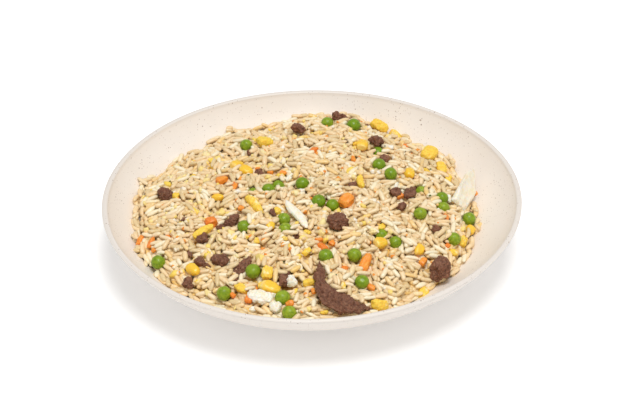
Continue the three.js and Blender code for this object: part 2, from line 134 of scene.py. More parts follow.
CARROT_SCRAPS = [
    (-56, 20, 7.4, 5, -15, 0.8), (-48, 12, 6.8, 3.4, 5, 0.6), (-43, -13, 3.9, 3.3, 0, 0.8),
    (1, 50, 6, 4.6, 10, 0.6), (26, 42, 5, 3.1, 20, 0.5), (54, 5, 4.3, 3.7, 20, 0.8),
    (103, 30, 7.4, 5, 70, 1.4), (61, 68, 5, 3.7, 30, 0.8), (6, -50, 7.4, 3.7, 10, 0.6),
    (12, -45, 4.3, 3.1, 0, 0.6), (4, -42, 4.3, 2.7, 20, 0.6), (-46, -87, 3.7, 3.1, 0, 0.8),
    (-36, -91, 6.8, 4.6, 80, 1), (-13, -95, 5, 3.7, 30, 0.9), (1, -87, 4.3, 2.8, 0, 0.6),
    (19, -67, 4.3, 3.5, 70, 0.6), (34, -79, 5.6, 3.7, 60, 0.8), (66, -50, 5, 4.4, 40, 0.8),
    (82, -9, 5.6, 2.9, -10, 0.7), (-95, -41, 3, 2.7, 0, 0.8), (-87, -33, 4.3, 3.5, 80, 0.8),
    (82, -30, 3.7, 2.7, 0, 0.8), (-34, 32, 3, 2.6, 0, 0.8), (-18, 26, 3.9, 3.1, 30, 0.7),
    (-26, 28, 3.7, 3.1, 70, 0.7), (71, 0, 5, 3.1, -20, 0.8), (24, 103, 3.7, 3.1, 0, 1.5),
    (-104, -28, 8, 3, -30, 1.2), (-97, -35, 8, 3, -42, 1.2), (44, 100, 3.5, 2.8, 0, 1.2),
]  # fmt: skip
WHITE_SCRAPS = [
    (-14, 21, 7.4, 3.4, -70, 0.9), (-7, 4, 7.4, 4.3, 20, 0.8), (-21, -97, 7.4, 6.6, 60, 1.2),
    (-12, -78, 7.4, 6.4, 60, 1), (52, 13, 5.6, 3.1, 20, 0.9), (-23, -88, 5, 4, 10, 0.8),
    (85, 12, 6, 4, 60, 0.8), (-34, -98, 4.5, 3.4, 10, 0.9),
]  # fmt: skip


def raw_outline(angle):
    """The plate's outline round its own axis: an oval that is a little flatter on one side."""
    off = np.arctan2(np.sin(angle - FLAT_AT), np.cos(angle - FLAT_AT))
    drawn_in = 1 - FLAT_SHARE * np.exp(-((off / FLAT_SPREAD) ** 2))
    return HALF_LENGTH * np.cos(angle) * drawn_in, HALF_DEPTH * np.sin(angle) * drawn_in


def ring_point(angle, share):
    """A point on the outline drawn in to a share of its size."""
    x, y = raw_outline(angle)
    return x * share - MIDDLE[0], y * share - MIDDLE[1]


def wall_arc(low, high, steps):
    """Shares of the outline and heights up a wall, on a quarter arc from low to high."""
    turn = np.linspace(0, WALL_TURN, steps + 1)
    share = low[0] + (high[0] - low[0]) * np.sin(turn) / math.sin(WALL_TURN)
    height = low[1] + (high[1] - low[1]) * (1 - np.cos(turn)) / (1 - math.cos(WALL_TURN))
    return share, height


RIM_HEIGHT = PLATE_HEIGHT - LIP_ROUND
WALL_SHARE, WALL_HEIGHT = wall_arc((FOOT_SHARE, FLOOR_HEIGHT), (1 - LIP_SHARE, RIM_HEIGHT), 40)


def wall_height(share):
    """The height of the plate's inside at a share of the outline."""
    return np.interp(share, WALL_SHARE, WALL_HEIGHT)


def wall_share(height):
    """The share of the outline at which the wall has a height."""
    return np.interp(height, WALL_HEIGHT, WALL_SHARE)


def plate_share(x, y):
    """Angle round the plate, and distance out as a share of the outline."""
    px, py = x + MIDDLE[0], y + MIDDLE[1]
    angle = np.arctan2(py * HALF_LENGTH, px * HALF_DEPTH)
    return angle, np.hypot(px, py) / np.hypot(*raw_outline(angle))


def rice_level(angle):
    """The height at which the rice meets the wall."""
    count = len(RICE_LEVELS)
    place = ((angle / TURN) % 1) * count
    start = np.floor(place).astype(int)
    eased = (1 - np.cos(math.pi * (place - start))) / 2
    even = RICE_LEVELS[start % count] * (1 - eased) + RICE_LEVELS[(start + 1) % count] * eased
    return even + RICE_LEVEL_WOBBLE * (np.sin(9 * angle + 1) + np.sin(14 * angle + 4))


def heap_place(x, y):
    """Angle, and distance out as a share of the way to the edge of the rice."""
    angle, share = plate_share(np.asarray(x, float), np.asarray(y, float))
    return angle, share / wall_share(rice_level(angle))


def heap_height(x, y):
    """The even form of the heap, with its broad lumps and without its grains."""
    angle, out = heap_place(x, y)
    out = np.minimum(out, 1)
    level = RICE_LEVELS.mean() + (rice_level(angle) - RICE_LEVELS.mean()) * out**2
    rise = RICE_DOME_RISE * (1 - out**2) + RICE_EDGE_RISE * (1 - out**RICE_EDGE_SHARPNESS)
    lumps = np.sin(x / 9 + y / 14) + np.sin(y / 8 - x / 17 + 2) + np.sin((x + y) / 6.5 + 4)
    return level + rise + LUMP_HEIGHT / 2 * lumps * (1 - out**6)


# ---- node trees
class Link:
    """A node's output, on which plain arithmetic adds Math nodes."""

    def __init__(self, nodes, socket):
        self.nodes, self.socket = nodes, socket

    def maths(self, operation, *values):
        return self.nodes.add("ShaderNodeMath", {"operation": operation}, dict(enumerate(values)))

    def __add__(self, other):
        return self.maths("ADD", self, other)

    def __sub__(self, other):
        return self.maths("SUBTRACT", self, other)

    def __rsub__(self, other):
        return self.maths("SUBTRACT", other, self)

    def __mul__(self, other):
        return self.maths("MULTIPLY", self, other)

    def __pow__(self, other):
        return self.maths("POWER", self, other)

    __radd__ = __add__
    __rmul__ = __mul__

    def between(self, low, high):
        """0 below low, 1 above high, and eased between them; turned round where low is higher."""
        sides = {"Value": self, "From Min": low, "From Max": high}
        return self.nodes.add("ShaderNodeMapRange", {"interpolation_type": "SMOOTHSTEP"}, sides)


class Nodes:
    """A node tree and the one way in which nodes are added to it."""

    def __init__(self, tree):
        self.tree = tree

    def add(self, kind, settings=None, sockets=None, output=0):
        """Adds a node of a type: its settings first, then its sockets' values or links."""
        node = self.tree.nodes.new(kind)
        for name, value in (settings or {}).items():
            setattr(node, name, value)
        for name, value in (sockets or {}).items():
            socket = self.find(node.inputs, name)
            if isinstance(value, Link):
                self.tree.links.new(value.socket, socket)
            else:
                socket.default_value = value
        return Link(self, self.find(node.outputs, output) if node.outputs else None)

    def find(self, sockets, name):
        """A socket by its number, its identifier or its name."""
        if isinstance(name, int):
            return sockets[name]
        return next((s for s in sockets if s.identifier == name), None) or sockets[name]


class Finish(Nodes):
    """A material of nodes, over Object coordinates or the form that a piece carries."""

    def __init__(self, name, on_form=False):
        self.material = bpy.data.materials.new(name)
        self.material.use_nodes = True
        super().__init__(self.material.node_tree)
        self.tree.nodes.clear()
        if on_form:
            self.place = self.own("form", "Vector")
        else:
            self.place = self.add("ShaderNodeTexCoord", output="Object")

    def own(self, name, output="Fac"):
        """An attribute that the piece carries."""
        return self.add("ShaderNodeAttribute", {"attribute_name": name}, output=output)

    def noise(self, scale, detail=3, rough=0.55, place=None):
        sockets = {"Vector": place or self.place, "Scale": scale}
        sockets |= {"Detail": detail, "Roughness": rough}
        return self.add("ShaderNodeTexNoise", None, sockets)

    def cells(self, scale, output="Distance"):
        """Scattered points: the distance to the nearest, or its own colour."""
        sockets = {"Vector": self.place, "Scale": scale}
        return self.add("ShaderNodeTexVoronoi", None, sockets, output)

    def stretched(self, factors):
        """The place, with its directions made finer or coarser."""
        sockets = {0: self.place, 1: factors}
        return self.add("ShaderNodeVectorMath", {"operation": "MULTIPLY"}, sockets)

    def blend(self, share, first, second):
        """Two colours mixed, by the share of the second."""
        first, second = (v if isinstance(v, Link) else (*v[:3], 1) for v in (first, second))
        sockets = {"Factor_Float": share, "A_Color": first, "B_Color": second}
        return self.add("ShaderNodeMix", {"data_type": "RGBA"}, sockets, "Result_Color")

    def bump(self, height, depth):
        """The slope of a height, whose full depth is in millimetres."""
        sockets = {"Height": height, "Distance": depth * MM, "Strength": 1.0}
        return self.add("ShaderNodeBump", None, sockets)

    def finish(self, colour, roughness, normal=None, soft=None, **sockets):
        """Ends the material; soft is how much light spreads inside, how far for each colour."""
        if soft:
            names = ("Subsurface_Weight", "Subsurface_Radius", "Subsurface_Scale")
            sockets |= dict(zip(names, soft))
        sockets = {name.replace("_", " "): value for name, value in sockets.items()}
        sockets |= {"Base Color": colour, "Roughness": roughness}
        if normal:
            sockets["Normal"] = normal
        shader = self.add("ShaderNodeBsdfPrincipled", None, sockets)
        self.add("ShaderNodeOutputMaterial", None, {"Surface": shader})
        return self.material


# ---- meshes
def link_object(name, data):
    """A new object in the scene."""
    body = bpy.data.objects.new(name, data)
    bpy.context.scene.collection.objects.link(body)
    return body


def new_mesh(name, points, faces, **attributes):
    """A smooth mesh from points in millimetres, with one value or three for each point."""
    mesh = bpy.data.meshes.new(name)
    mesh.from_pydata((np.asarray(points) * MM).tolist(), [], [list(map(int, f)) for f in faces])
    for key, values in attributes.items():
        values = np.asarray(values, np.float32)
        kind, field = ("FLOAT", "value") if values.ndim == 1 else ("FLOAT_VECTOR", "vector")
        mesh.attributes.new(key, kind, "POINT").data.foreach_set(field, values.ravel())
    if len(faces):
        mesh.shade_smooth()
    mesh.update()
    return mesh


def finish_piece(name, mesh, material, slot, nodes=()):
    """Puts a finished mesh in the scene as a piece that stands for CAD nodes."""
    mesh.materials.clear()
    mesh.materials.append(material)
    body = link_object(name, mesh)
    if nodes:
        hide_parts(*nodes)
    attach(body, "root")


def baked(body):
    """The mesh of an object with its modifiers applied, the object itself removed."""
    graph = bpy.context.evaluated_depsgraph_get()
    mesh = bpy.data.meshes.new_from_object(body.evaluated_get(graph))
    spent = body.data
    bpy.data.objects.remove(body)
    bpy.data.meshes.remove(spent)
    return mesh


def read_points(mesh, field="co"):
    """The places of a mesh's points, or another field of theirs."""
    values = np.empty(3 * len(mesh.vertices), np.float32)
    mesh.vertices.foreach_get(field, values)
    return values.reshape(-1, 3).astype(float)


def read_shape(solid):
    """The points and faces of a solid in the making, which is done with."""
    points = np.array([v.co for v in solid.verts])
    faces = [[v.index for v in f.verts] for f in solid.faces]
    solid.free()
    return points, faces


def ball_shape(subdivisions, radius):
    """The points and faces of a ball of even triangles."""
    ball = bmesh.new()
    bmesh.ops.create_icosphere(ball, subdivisions=subdivisions, radius=radius)
    return read_shape(ball)


def ring_faces(rings, count):
    """The faces between rings of points, closed to a middle point before and one after them."""
    faces = []
    for ring in range(rings - 1):
        for i in range(count):
            a, b = ring * count + i, ring * count + (i + 1) % count
            faces.append((a, b, b + count, a + count))
    start, last = (rings - 1) * count, rings * count
    faces += [(last, (i + 1) % count, i) for i in range(count)]
    faces += [(last + 1, start + i, start + (i + 1) % count) for i in range(count)]
    return faces


# ---- what lies in the plate so far
def spread(grid, pick):
    """Each cell's value with that of its eight neighbours, the highest or the lowest."""
    rows = pick(pick(grid, np.roll(grid, 1, 0)), np.roll(grid, -1, 0))
    return pick(pick(rows, np.roll(rows, 1, 1)), np.roll(rows, -1, 1))


class Relief:
    """Heights over the plate, seen from above, on an even grid; all in millimetres."""

    STEP = 0.5
    REACH = (133, 124)  # half the grid's sides
    EMPTY = -50.0
    WALL_END = 0.97  # past this share of the outline, a false height keeps the rim bare
    BLOCKED = 60
    GRAIN_REACH = 5  # half the side of the patch that a grain can raise

    def __init__(self):
        grid = (np.arange(-reach, reach, self.STEP) for reach in self.REACH)
        self.x, self.y = np.meshgrid(*grid)
        share = plate_share(self.x, self.y)[1]
        self.wall = np.where(share < self.WALL_END, wall_height(share), self.BLOCKED)
        self.toppings = np.full(self.x.shape, self.EMPTY)
        self.under = np.full(self.x.shape, -self.EMPTY)

    def cells(self, x, y):
        """The rows and columns of the cells in which places lie."""
        rows, columns = self.x.shape
        column = np.rint((x + self.REACH[0]) / self.STEP).astype(int)
        row = np.rint((y + self.REACH[1]) / self.STEP).astype(int)
        return np.clip(row, 0, rows - 1), np.clip(column, 0, columns - 1)

    def add_topping(self, points):
        """Notes where a finely meshed topping is, from its points."""
        cells = self.cells(points[:, 0], points[:, 1])
        np.maximum.at(self.toppings, cells, points[:, 2])
        np.minimum.at(self.under, cells, points[:, 2])

    def lay_bed(self):
        """Works out the bed under the loose grains, pressed hollow under each topping."""
        self.angle, self.out = heap_place(self.x, self.y)
        out = np.minimum(self.out, 1)
        off_x = (self.x - DIP_MIDDLE[0]) / DIP_BREADTH[0]
        off_y = (self.y - DIP_MIDDLE[1]) / DIP_BREADTH[1]
        heap = heap_height(self.x, self.y) - DIP_DEPTH * np.exp(-(off_x**2) - off_y**2)
        bed = heap - BED_DEPTH * (1 - out**24) - BED_GAP
        bed = np.minimum(bed, spread(spread(self.under, np.minimum), np.minimum) - BED_GAP)
        self.bed = np.maximum(bed, self.wall + BED_GAP)
        waves_x = np.sin(self.x / 5.9 + np.sin(self.y / 7))
        waves_y = np.sin(self.y / 5.2 + np.sin(self.x / 6))
        clump_height = np.interp(self.y - self.x / 3, CLUMPS_FROM, CLUMP_HEIGHTS)
        clumps = waves_x * waves_y * clump_height * (1 - out**12)
        self.even = np.maximum(heap + clumps - GRAIN_DROP, self.wall + WALL_GAP)
        wave = np.sin(7 * self.angle + 1) * np.sin(11 * self.angle + 2)
        edge = EDGE_SHARE + EDGE_STRAY * np.maximum(0, wave)
        self.target = np.where(self.out < edge, self.even, self.EMPTY)
        # A topping that reaches to within a millimetre of the surface stands out of it.
        self.covered = spread(self.toppings, np.maximum)
        self.standing = self.covered > self.even - 1.0
        buried = np.where(self.standing, self.EMPTY, self.covered)
        inside = np.where(self.out < BED_SHARE, self.bed, self.wall)
        self.top = np.maximum(np.maximum(inside, self.wall), buried)

    def add_grain(self, x, y, z, heading, slope, length, width, thickness):
        """Raises the top by a grain that has come to rest."""
        near = np.array([-self.GRAIN_REACH, self.GRAIN_REACH])
        rows, columns = self.cells(x + near, y + near)
        patch = (slice(rows[0], rows[1] + 1), slice(columns[0], columns[1] + 1))
        dx, dy = self.x[patch] - x, self.y[patch] - y
        along = dx * math.cos(heading) + dy * math.sin(heading)
        across = dy * math.cos(heading) - dx * math.sin(heading)
        inside = 1 - (2 * along / length) ** 4 - (2 * across / width) ** 2
        height = z + slope * along + thickness / 2 * np.sqrt(np.maximum(inside, 0))
        top = self.top[patch]
        self.top[patch] = np.where(inside > 0, np.maximum(top, height), top)


relief = Relief()


# ---- loose grains
SUPPORTS = np.array([-0.92, -0.6, -0.2, 0.2, 0.6, 0.92])  # where a grain can rest, end to end
TRIES = 4  # places that each grain is tried in
TURNS = 4  # times that the laying is tried, for each grain
LEAST_ROOM = 400  # cells with room, below which the laying ends
JITTER = 2  # how far a grain may lie from its cell
ALONG_WALL = 0.93  # how far out the grains turn along the wall
DRAPED = 0.1  # share of the laid grains that may lie over a topping


def edged(free):
    """The numbers of the free cells, with those near the wall three times over."""
    near_wall = np.flatnonzero(free & (relief.out > 0.94))
    return np.concatenate([np.flatnonzero(free), near_wall, near_wall])


def headings(x, y, spot, random):
    """Ways for grains to point: most drift with their neighbours, those at the wall follow it."""
    flow = 2.4 * np.sin(x / 17 + 1) + 2.1 * np.cos(y / 14 - x / 31)
    stray = np.where(random.random(TRIES) < 0.3, 0.5, 2.0) * random.normal(0, 1, TRIES)
    along_wall = relief.angle[spot] + math.pi / 2 + random.normal(0, 0.35, TRIES)
    return np.where(relief.out[spot] > ALONG_WALL, along_wall, flow + stray)


def packed_lie(rest, place, surface, target, random):
    """Slopes along the surface, and heights under it but clear of the plate."""
    slope = (surface[:, -1] - surface[:, 0]) / (place[-1] - place[0])
    slope = np.clip(slope + random.normal(0, 0.2, TRIES), -0.8, 0.8)
    lowest = (rest - slope[:, None] * place).max(1) - 0.3
    return slope, np.maximum(target - random.uniform(0.6, 3.2), lowest)


def laid_lie(rest, place, random):
    """Slopes and heights at which grains rest on one support to each side, sunk in a little."""
    low, high = rest[:, :3, None], rest[:, None, 3:]
    slope = (high - low) / (place[3:] - place[:3, None])
    middle = low - slope * place[:3, None]
    best = middle.reshape(TRIES, -1).argmax(1)
    steep = 0.7 if random.random() < 0.15 else 0.35
    slope = slope.reshape(TRIES, -1)[np.arange(TRIES), best] + random.normal(0, 0.1, TRIES)
    slope = np.clip(slope, -steep, steep)
    clear = rest - slope[:, None] * place
    return slope, 0.6 * clear.max(1) + 0.4 * clear.mean(1) - 1.3


def settle_grains(kinds, packed, count, thickness, random):
    """Packs grains close under the surface, then lays more on them, each where it lies low.

    A kind is a share of the grains, a length and a width. Gives each grain's kind, place,
    heading, pitch and length, and whether it is packed.
    """
    shares = np.cumsum([share for share, _, _ in kinds])
    round_off = thickness / 2 * np.sqrt(1 - (SUPPORTS * 0.9) ** 2)
    laid = []
    for turn in range(packed + TURNS * (count - packed)):
        packing = turn < packed
        if packing and turn == 0:
            room = edged(relief.target > Relief.EMPTY)
        elif not packing and turn % 100 == 0:
            room = edged((relief.target - relief.top > 0.1) & ~relief.standing)
        if len(laid) == count or len(room) < LEAST_ROOM:
            break
        kind = int(np.searchsorted(shares, random.random() * shares[-1]))
        length = kinds[kind][1] * random.uniform(0.86, 1.14)
        width = kinds[kind][2]
        draped = not packing and random.random() < DRAPED
        chosen = random.choice(room, TRIES)
        x = relief.x.ravel()[chosen] + random.uniform(-JITTER, JITTER, TRIES)
        y = relief.y.ravel()[chosen] + random.uniform(-JITTER, JITTER, TRIES)
        spot = relief.cells(x, y)
        heading = headings(x, y, spot, random)
        place = SUPPORTS * length / 2
        east, north = np.cos(heading)[:, None], np.sin(heading)[:, None]
        ground = np.full((TRIES, len(place)), Relief.EMPTY)
        over = np.zeros(ground.shape)
        for lane in (-width / 3.2, 0, width / 3.2):
            lane_x = x[:, None] + east * place - north * lane
            lane_y = y[:, None] + north * place + east * lane
            cells = relief.cells(lane_x, lane_y)
            ground = np.maximum(ground, (relief.wall if packing else relief.top)[cells])
            if draped:
                ground = np.maximum(ground, relief.covered[cells])
            over = np.maximum(over, relief.standing[cells])
        rest = ground + round_off
        target = relief.even[spot]
        # How far a grain may stand out, and how much of it may lie over toppings that show
        if packing:
            slope, middle = packed_lie(rest, place, relief.even[cells], target, random)
            limit, most_over = 0.4, 1
        else:
            slope, middle = laid_lie(rest, place, random)
            limit, most_over = (2.4, 0.7) if draped else (1.8 * random.random() ** 2, 0.4)
        excess = middle - target + 99 * (over.mean(1) > most_over)
        pick = int(excess.argmin())
        if excess[pick] > limit:
            continue
        lie = x[pick], y[pick], middle[pick], heading[pick]
        laid.append((kind, *lie, math.atan(slope[pick]), length, float(packing)))
        relief.add_grain(*lie, slope[pick], length, width, thickness)
    return laid


def geometry_tree(name, sizes):
    """An empty tree with inputs for its sizes, a seed and a finish; gives it and their links."""
    tree = bpy.data.node_groups.new(name, "GeometryNodeTree")
    tree.interface.new_socket("Geometry", in_out="INPUT", socket_type="NodeSocketGeometry")
    tree.interface.new_socket("Geometry", in_out="OUTPUT", socket_type="NodeSocketGeometry")
    inputs = [(title, "Float") for title in sizes] + [("Seed", "Int"), ("Finish", "Material")]
    for title, kind in inputs:
        tree.interface.new_socket(title, in_out="INPUT", socket_type=f"NodeSocket{kind}")
    nodes = Nodes(tree)
    group = tree.nodes.new("NodeGroupInput")
    return nodes, {socket.name: Link(nodes, socket) for socket in group.outputs if socket.name}


def strewn(name, tree, points, **inputs):
    """Runs a geometry node tree on points, and gives the plain mesh that it makes."""
    body = link_object(name, points)
    modifier = body.modifiers.new("Strewn", "NODES")
    modifier.node_group = tree
    for item in tree.interface.items_tree:
        if item.in_out == "INPUT" and item.name in inputs:
            modifier[item.identifier] = inputs[item.name]
    mesh = baked(body)
    for spare in ("lay", "stretch"):
        mesh.attributes.remove(mesh.attributes[spare])
    return mesh


def strew(nodes, inputs, shape):
    """Ends a tree: the shape on every point, turned and stretched as the point says."""
    own = {"data_type": "FLOAT_VECTOR"}
    lay = nodes.add("GeometryNodeInputNamedAttribute", own, {"Name": "lay"})
    stretch = nodes.add("GeometryNodeInputNamedAttribute", own, {"Name": "stretch"})
    sockets = {"Min_001": -1.0, "Max_001": 1.0, "Seed": inputs["Seed"]}
    roll = nodes.add("FunctionNodeRandomValue", {"data_type": "FLOAT"}, sockets, "Value_001")
    turned = nodes.add("ShaderNodeCombineXYZ", None, {"X": roll * inputs["Roll"]})
    turned = nodes.add("ShaderNodeVectorMath", {"operation": "ADD"}, {0: turned, 1: lay})
    turned = nodes.add("FunctionNodeEulerToRotation", None, {"Euler": turned})
    sockets = {"Points": inputs["Geometry"], "Instance": shape}
    sockets |= {"Rotation": turned, "Scale": stretch}
    copies = nodes.add("GeometryNodeInstanceOnPoints", None, sockets)
    whole = nodes.add("GeometryNodeRealizeInstances", None, {"Geometry": copies})
    sockets = {"Geometry": whole, "Material": inputs["Finish"]}
    dressed = nodes.add("GeometryNodeSetMaterial", None, sockets)
    nodes.add("NodeGroupOutput", None, {"Geometry": dressed})
    return nodes.tree


def grain_tree():
    """Rice grains: a ball drawn out along X, full to near its ends, and bent sideways."""
    sizes = ("Length", "Width", "Thickness", "Bend", "Roll")
    nodes, inputs = geometry_tree("Strewn rice", sizes)
    ball = nodes.add("GeometryNodeMeshUVSphere", None, {"Segments": 7, "Rings": 7, "Radius": 0.5})
    place = nodes.add("GeometryNodeInputPosition")
    x, y, z = (nodes.add("ShaderNodeSeparateXYZ", None, {0: place}, axis) for axis in range(3))
    full = (1.03 - 4 * (z * z)) ** -0.24
    bend = inputs["Bend"] * (4 * (z * z) - 0.4)
    sockets = {
        "X": z * inputs["Length"],
        "Y": x * full * inputs["Width"] + bend,
        "Z": y * full * inputs["Thickness"],
    }
    shaped = nodes.add("ShaderNodeCombineXYZ", None, sockets)
    grain = nodes.add("GeometryNodeSetPosition", None, {"Geometry": ball, "Position": shaped})
    for title, value in (("along", 2 * z), ("upward", 2 * y)):
        sockets = {"Geometry": grain, "Name": title, "Value": value}
        grain = nodes.add("GeometryNodeStoreNamedAttribute", {"domain": "POINT"}, sockets)
    grain = nodes.add("GeometryNodeSetShadeSmooth", None, {"Geometry": grain})
    return strew(nodes, inputs, grain)


def crumb_tree():
    """Crumbs and specks: small uneven balls."""
    nodes, inputs = geometry_tree("Strewn crumbs", ("Roughness", "Roll"))
    ball = nodes.add("GeometryNodeMeshIcoSphere", None, {"Radius": 0.5, "Subdivisions": 2})
    place = nodes.add("GeometryNodeInputPosition")
    waves = nodes.add("ShaderNodeTexNoise", None, {"Vector": place, "Scale": 2.2}, "Color")
    sockets = {0: waves, 1: (0.5, 0.5, 0.5)}
    waves = nodes.add("ShaderNodeVectorMath", {"operation": "SUBTRACT"}, sockets)
    sockets = {0: waves, "Scale": inputs["Roughness"]}
    waves = nodes.add("ShaderNodeVectorMath", {"operation": "SCALE"}, sockets)
    crumb = nodes.add("GeometryNodeSetPosition", None, {"Geometry": ball, "Offset": waves})
    crumb = nodes.add("GeometryNodeSetShadeSmooth", None, {"Geometry": crumb})
    return strew(nodes, inputs, crumb)


# ---- toppings
def node_shape(name):
    """The corners and faces of a CAD solid, its loose triangles merged."""
    solid = bmesh.new()
    solid.from_mesh(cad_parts[name].data)
    bmesh.ops.remove_doubles(solid, verts=solid.verts, dist=1e-6)
    points, faces = read_shape(solid)
    return points / MM, faces


ROUND = 2.4  # corner of a round lump; 3 is blunter and 4.5 is close to a block
APART = 17.3  # keeps the patterns of like pieces apart


def scrap_shape(x, y, length, width, heading, lift, number, corner):
    """A lump on the heap: its thickness a little less than its width."""
    points, faces = ball_shape(3, 1)
    reach = (np.abs(points) ** corner).sum(1) ** (-1 / corner)
    waves = np.sin(3 * points[:, 0] + number) + np.sin(4 * points[:, 1] + 2 * number)
    points *= (reach * (1 + 0.08 * waves))[:, None]
    points *= np.array([length, width, 0.8 * width]) / 2
    slope = [
        float(heap_height(x + 3, y) - heap_height(x - 3, y)) / 6,
        float(heap_height(x, y + 3) - heap_height(x, y - 3)) / 6,
    ]
    upright = Vector((-slope[0], -slope[1], 1)).to_track_quat("Z", "Y").to_matrix()
    tilt = Matrix.Rotation(0.3 * math.sin(5 * number), 3, "X")
    turn = np.array(upright @ Matrix.Rotation(math.radians(heading), 3, "Z") @ tilt)
    return points @ turn.T + [x, y, float(heap_height(x, y)) + lift], faces


def own_axes(points):
    """The directions in which a form is longest, wide and thinnest, as the rows of a matrix."""
    spread_out = points - points.mean(0)
    axes = np.linalg.eigh(spread_out.T @ spread_out)[1].T[::-1]
    if np.linalg.det(axes) < 0:
        axes[2] *= -1
    return axes


def filled_out(points, corner):
    """A round form with its ends and edges made blunter, within the same length and width."""
    centre, axes = points.mean(0), own_axes(points)
    local = (points - centre) @ axes.T
    half = np.abs(local).max(0)
    facing = local / half
    facing /= np.linalg.norm(facing, axis=1)[:, None] + 1e-9
    reach = (np.abs(facing) ** corner).sum(1) ** (-1 / corner)
    return centre + (local * reach[:, None]) @ axes


def drawn_to_a_point(points, peak_share=0.68, drawn=0.8, deeper=3):
    """The standing flake, its upper edge drawn together and its foot deeper in the rice."""
    low, high = points.min(0), points.max(0)
    peak = low[0] + peak_share * (high[0] - low[0])
    up = (points[:, 2] - low[2]) / (high[2] - low[2])
    points = points.copy()
    points[:, 0] += (peak - points[:, 0]) * drawn * np.clip(2 * up - 0.9, 0, 1)
    points[:, 2] -= deeper * np.clip(1 - 2 * up, 0, 1)
    return points


def textured(points, faces, number, voxel, passes, rule):
    """A topping with an even skin of small faces, softened and then worked by its rule.

    The rule takes a place and a normal along the form's own axes, and gives millimetres outwards.
    """
    centre, axes = points.mean(0), own_axes(points)
    body = link_object("Blank", new_mesh("Blank", points, faces))
    skin = body.modifiers.new("Even skin", "REMESH")
    skin.mode, skin.voxel_size = "VOXEL", voxel * MM
    soften = body.modifiers.new("Soften", "SMOOTH")
    soften.factor, soften.iterations = 0.5, passes
    mesh = baked(body)
    points = read_points(mesh) / MM
    normals = read_points(mesh, "normal")
    local, facing = (points - centre) @ axes.T, normals @ axes.T
    seed = APART * number
    offsets = [rule(Vector(p), Vector(n), seed) for p, n in zip(local, facing)]
    points = points + normals * np.array(offsets)[:, None]
    faces = [list(f.vertices) for f in mesh.polygons]
    bpy.data.meshes.remove(mesh)
    return points, faces, local + [0, 0, seed]


def joined(name, parts, random):
    """Several forms as one mesh, each with its own tint; notes them all on the relief."""
    points, faces, tints, places = [], [], [], []
    start = 0
    for part_points, part_faces, local in parts:
        points.append(part_points)
        faces += [[start + i for i in f] for f in part_faces]
        tints.append(np.full(len(part_points), random.random()))
        places.append(local)
        start += len(part_points)
    points = np.concatenate(points)
    relief.add_topping(points)
    return new_mesh(name, points, faces, tint=np.concatenate(tints), form=np.concatenate(places))


def make_toppings(name, nodes, scraps, skin, material, slot, corner=ROUND):
    """One kind of topping: its CAD nodes' forms and its scraps, worked alike.

    A skin is its voxels' size, how often it is softened and the rule of its relief.
    """
    random = np.random.default_rng(len(nodes) + 3 * len(scraps))
    shapes = []
    for node in nodes:
        points, faces = node_shape(node)
        if "flake" in node:
            points = drawn_to_a_point(points)
        elif corner > ROUND:
            points = filled_out(points, corner)
        shapes.append((points, faces))
    shapes += [scrap_shape(*scrap, i, corner) for i, scrap in enumerate(scraps)]
    parts = [textured(*shape, i, *skin) for i, shape in enumerate(shapes)]
    finish_piece(name, joined(name, parts, random), material, slot, nodes)


def nodes_of(kind):
    """The CAD nodes whose names start so, in order."""
    return sorted(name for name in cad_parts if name.startswith(kind))


def at(place, scale, seed):
    """A place in a noise of a given grain, in millimetres."""
    return Vector((place.x / scale + seed, place.y / scale, place.z / scale))


def corn_skin(place, normal, seed):
    """Smooth, with a dent in the top."""
    dent = math.exp(-((place.x / 2.6) ** 2 + (place.y / 1.6) ** 2)) * max(0, normal.z)
    return 0.18 * noise.noise(at(place, 2.2, seed)) - 0.5 * dent


def yolk_skin(place, normal, seed):
    """Crumbly: coarse and fine grains."""
    coarse = noise.voronoi(at(place, 2.3, seed))[0][0]
    fine = noise.voronoi(at(place, 0.95, seed))[0][0]
    return 0.7 * (0.42 - coarse) + 0.3 * (0.4 - fine) + 0.4 * noise.noise(at(place, 3.5, seed))


def beef_skin(place, normal, seed):
    """Craggy, with fibres along the piece and cracks between its lumps."""
    nearest, second = noise.voronoi(at(place, 3.4, seed))[0][:2]
    crack = math.exp(-(((second - nearest) / 0.12) ** 2))
    fibre = noise.noise(Vector((place.x / 4.5 + seed, place.y / 0.8, place.z / 0.8)))
    crags = noise.fractal(at(place, 2.9, seed), 0.75, 2.1, 5)
    broad = noise.noise(at(place, 7.5, seed))
    return 2.2 * broad + 1.1 * crags + 0.3 * fibre - 0.4 * crack


def carrot_skin(place, normal, seed):
    """Cut flat, with a faint roughness."""
    return 0.22 * noise.noise(at(place, 1.8, seed)) + 0.07 * noise.noise(at(place, 0.6, seed))


def curd_skin(place, normal, seed):
    """Ragged and lumpy."""
    ragged = noise.fractal(at(place, 2.4, seed), 0.9, 2.2, 4)
    return 0.8 * ragged + 0.35 * (0.45 - noise.voronoi(at(place, 1.8, seed))[0][0])


def sliver_skin(place, normal, seed):
    """Torn at the edges, with soft folds across the flat sides."""
    edge = 1 - abs(normal.z)
    ragged = noise.fractal(at(place, 2.6, seed), 0.9, 2.2, 3)
    folds = noise.noise(Vector((place.x / 6 + seed, place.y / 2.4, 0)))
    return ragged * 0.45 * edge + 0.25 * folds


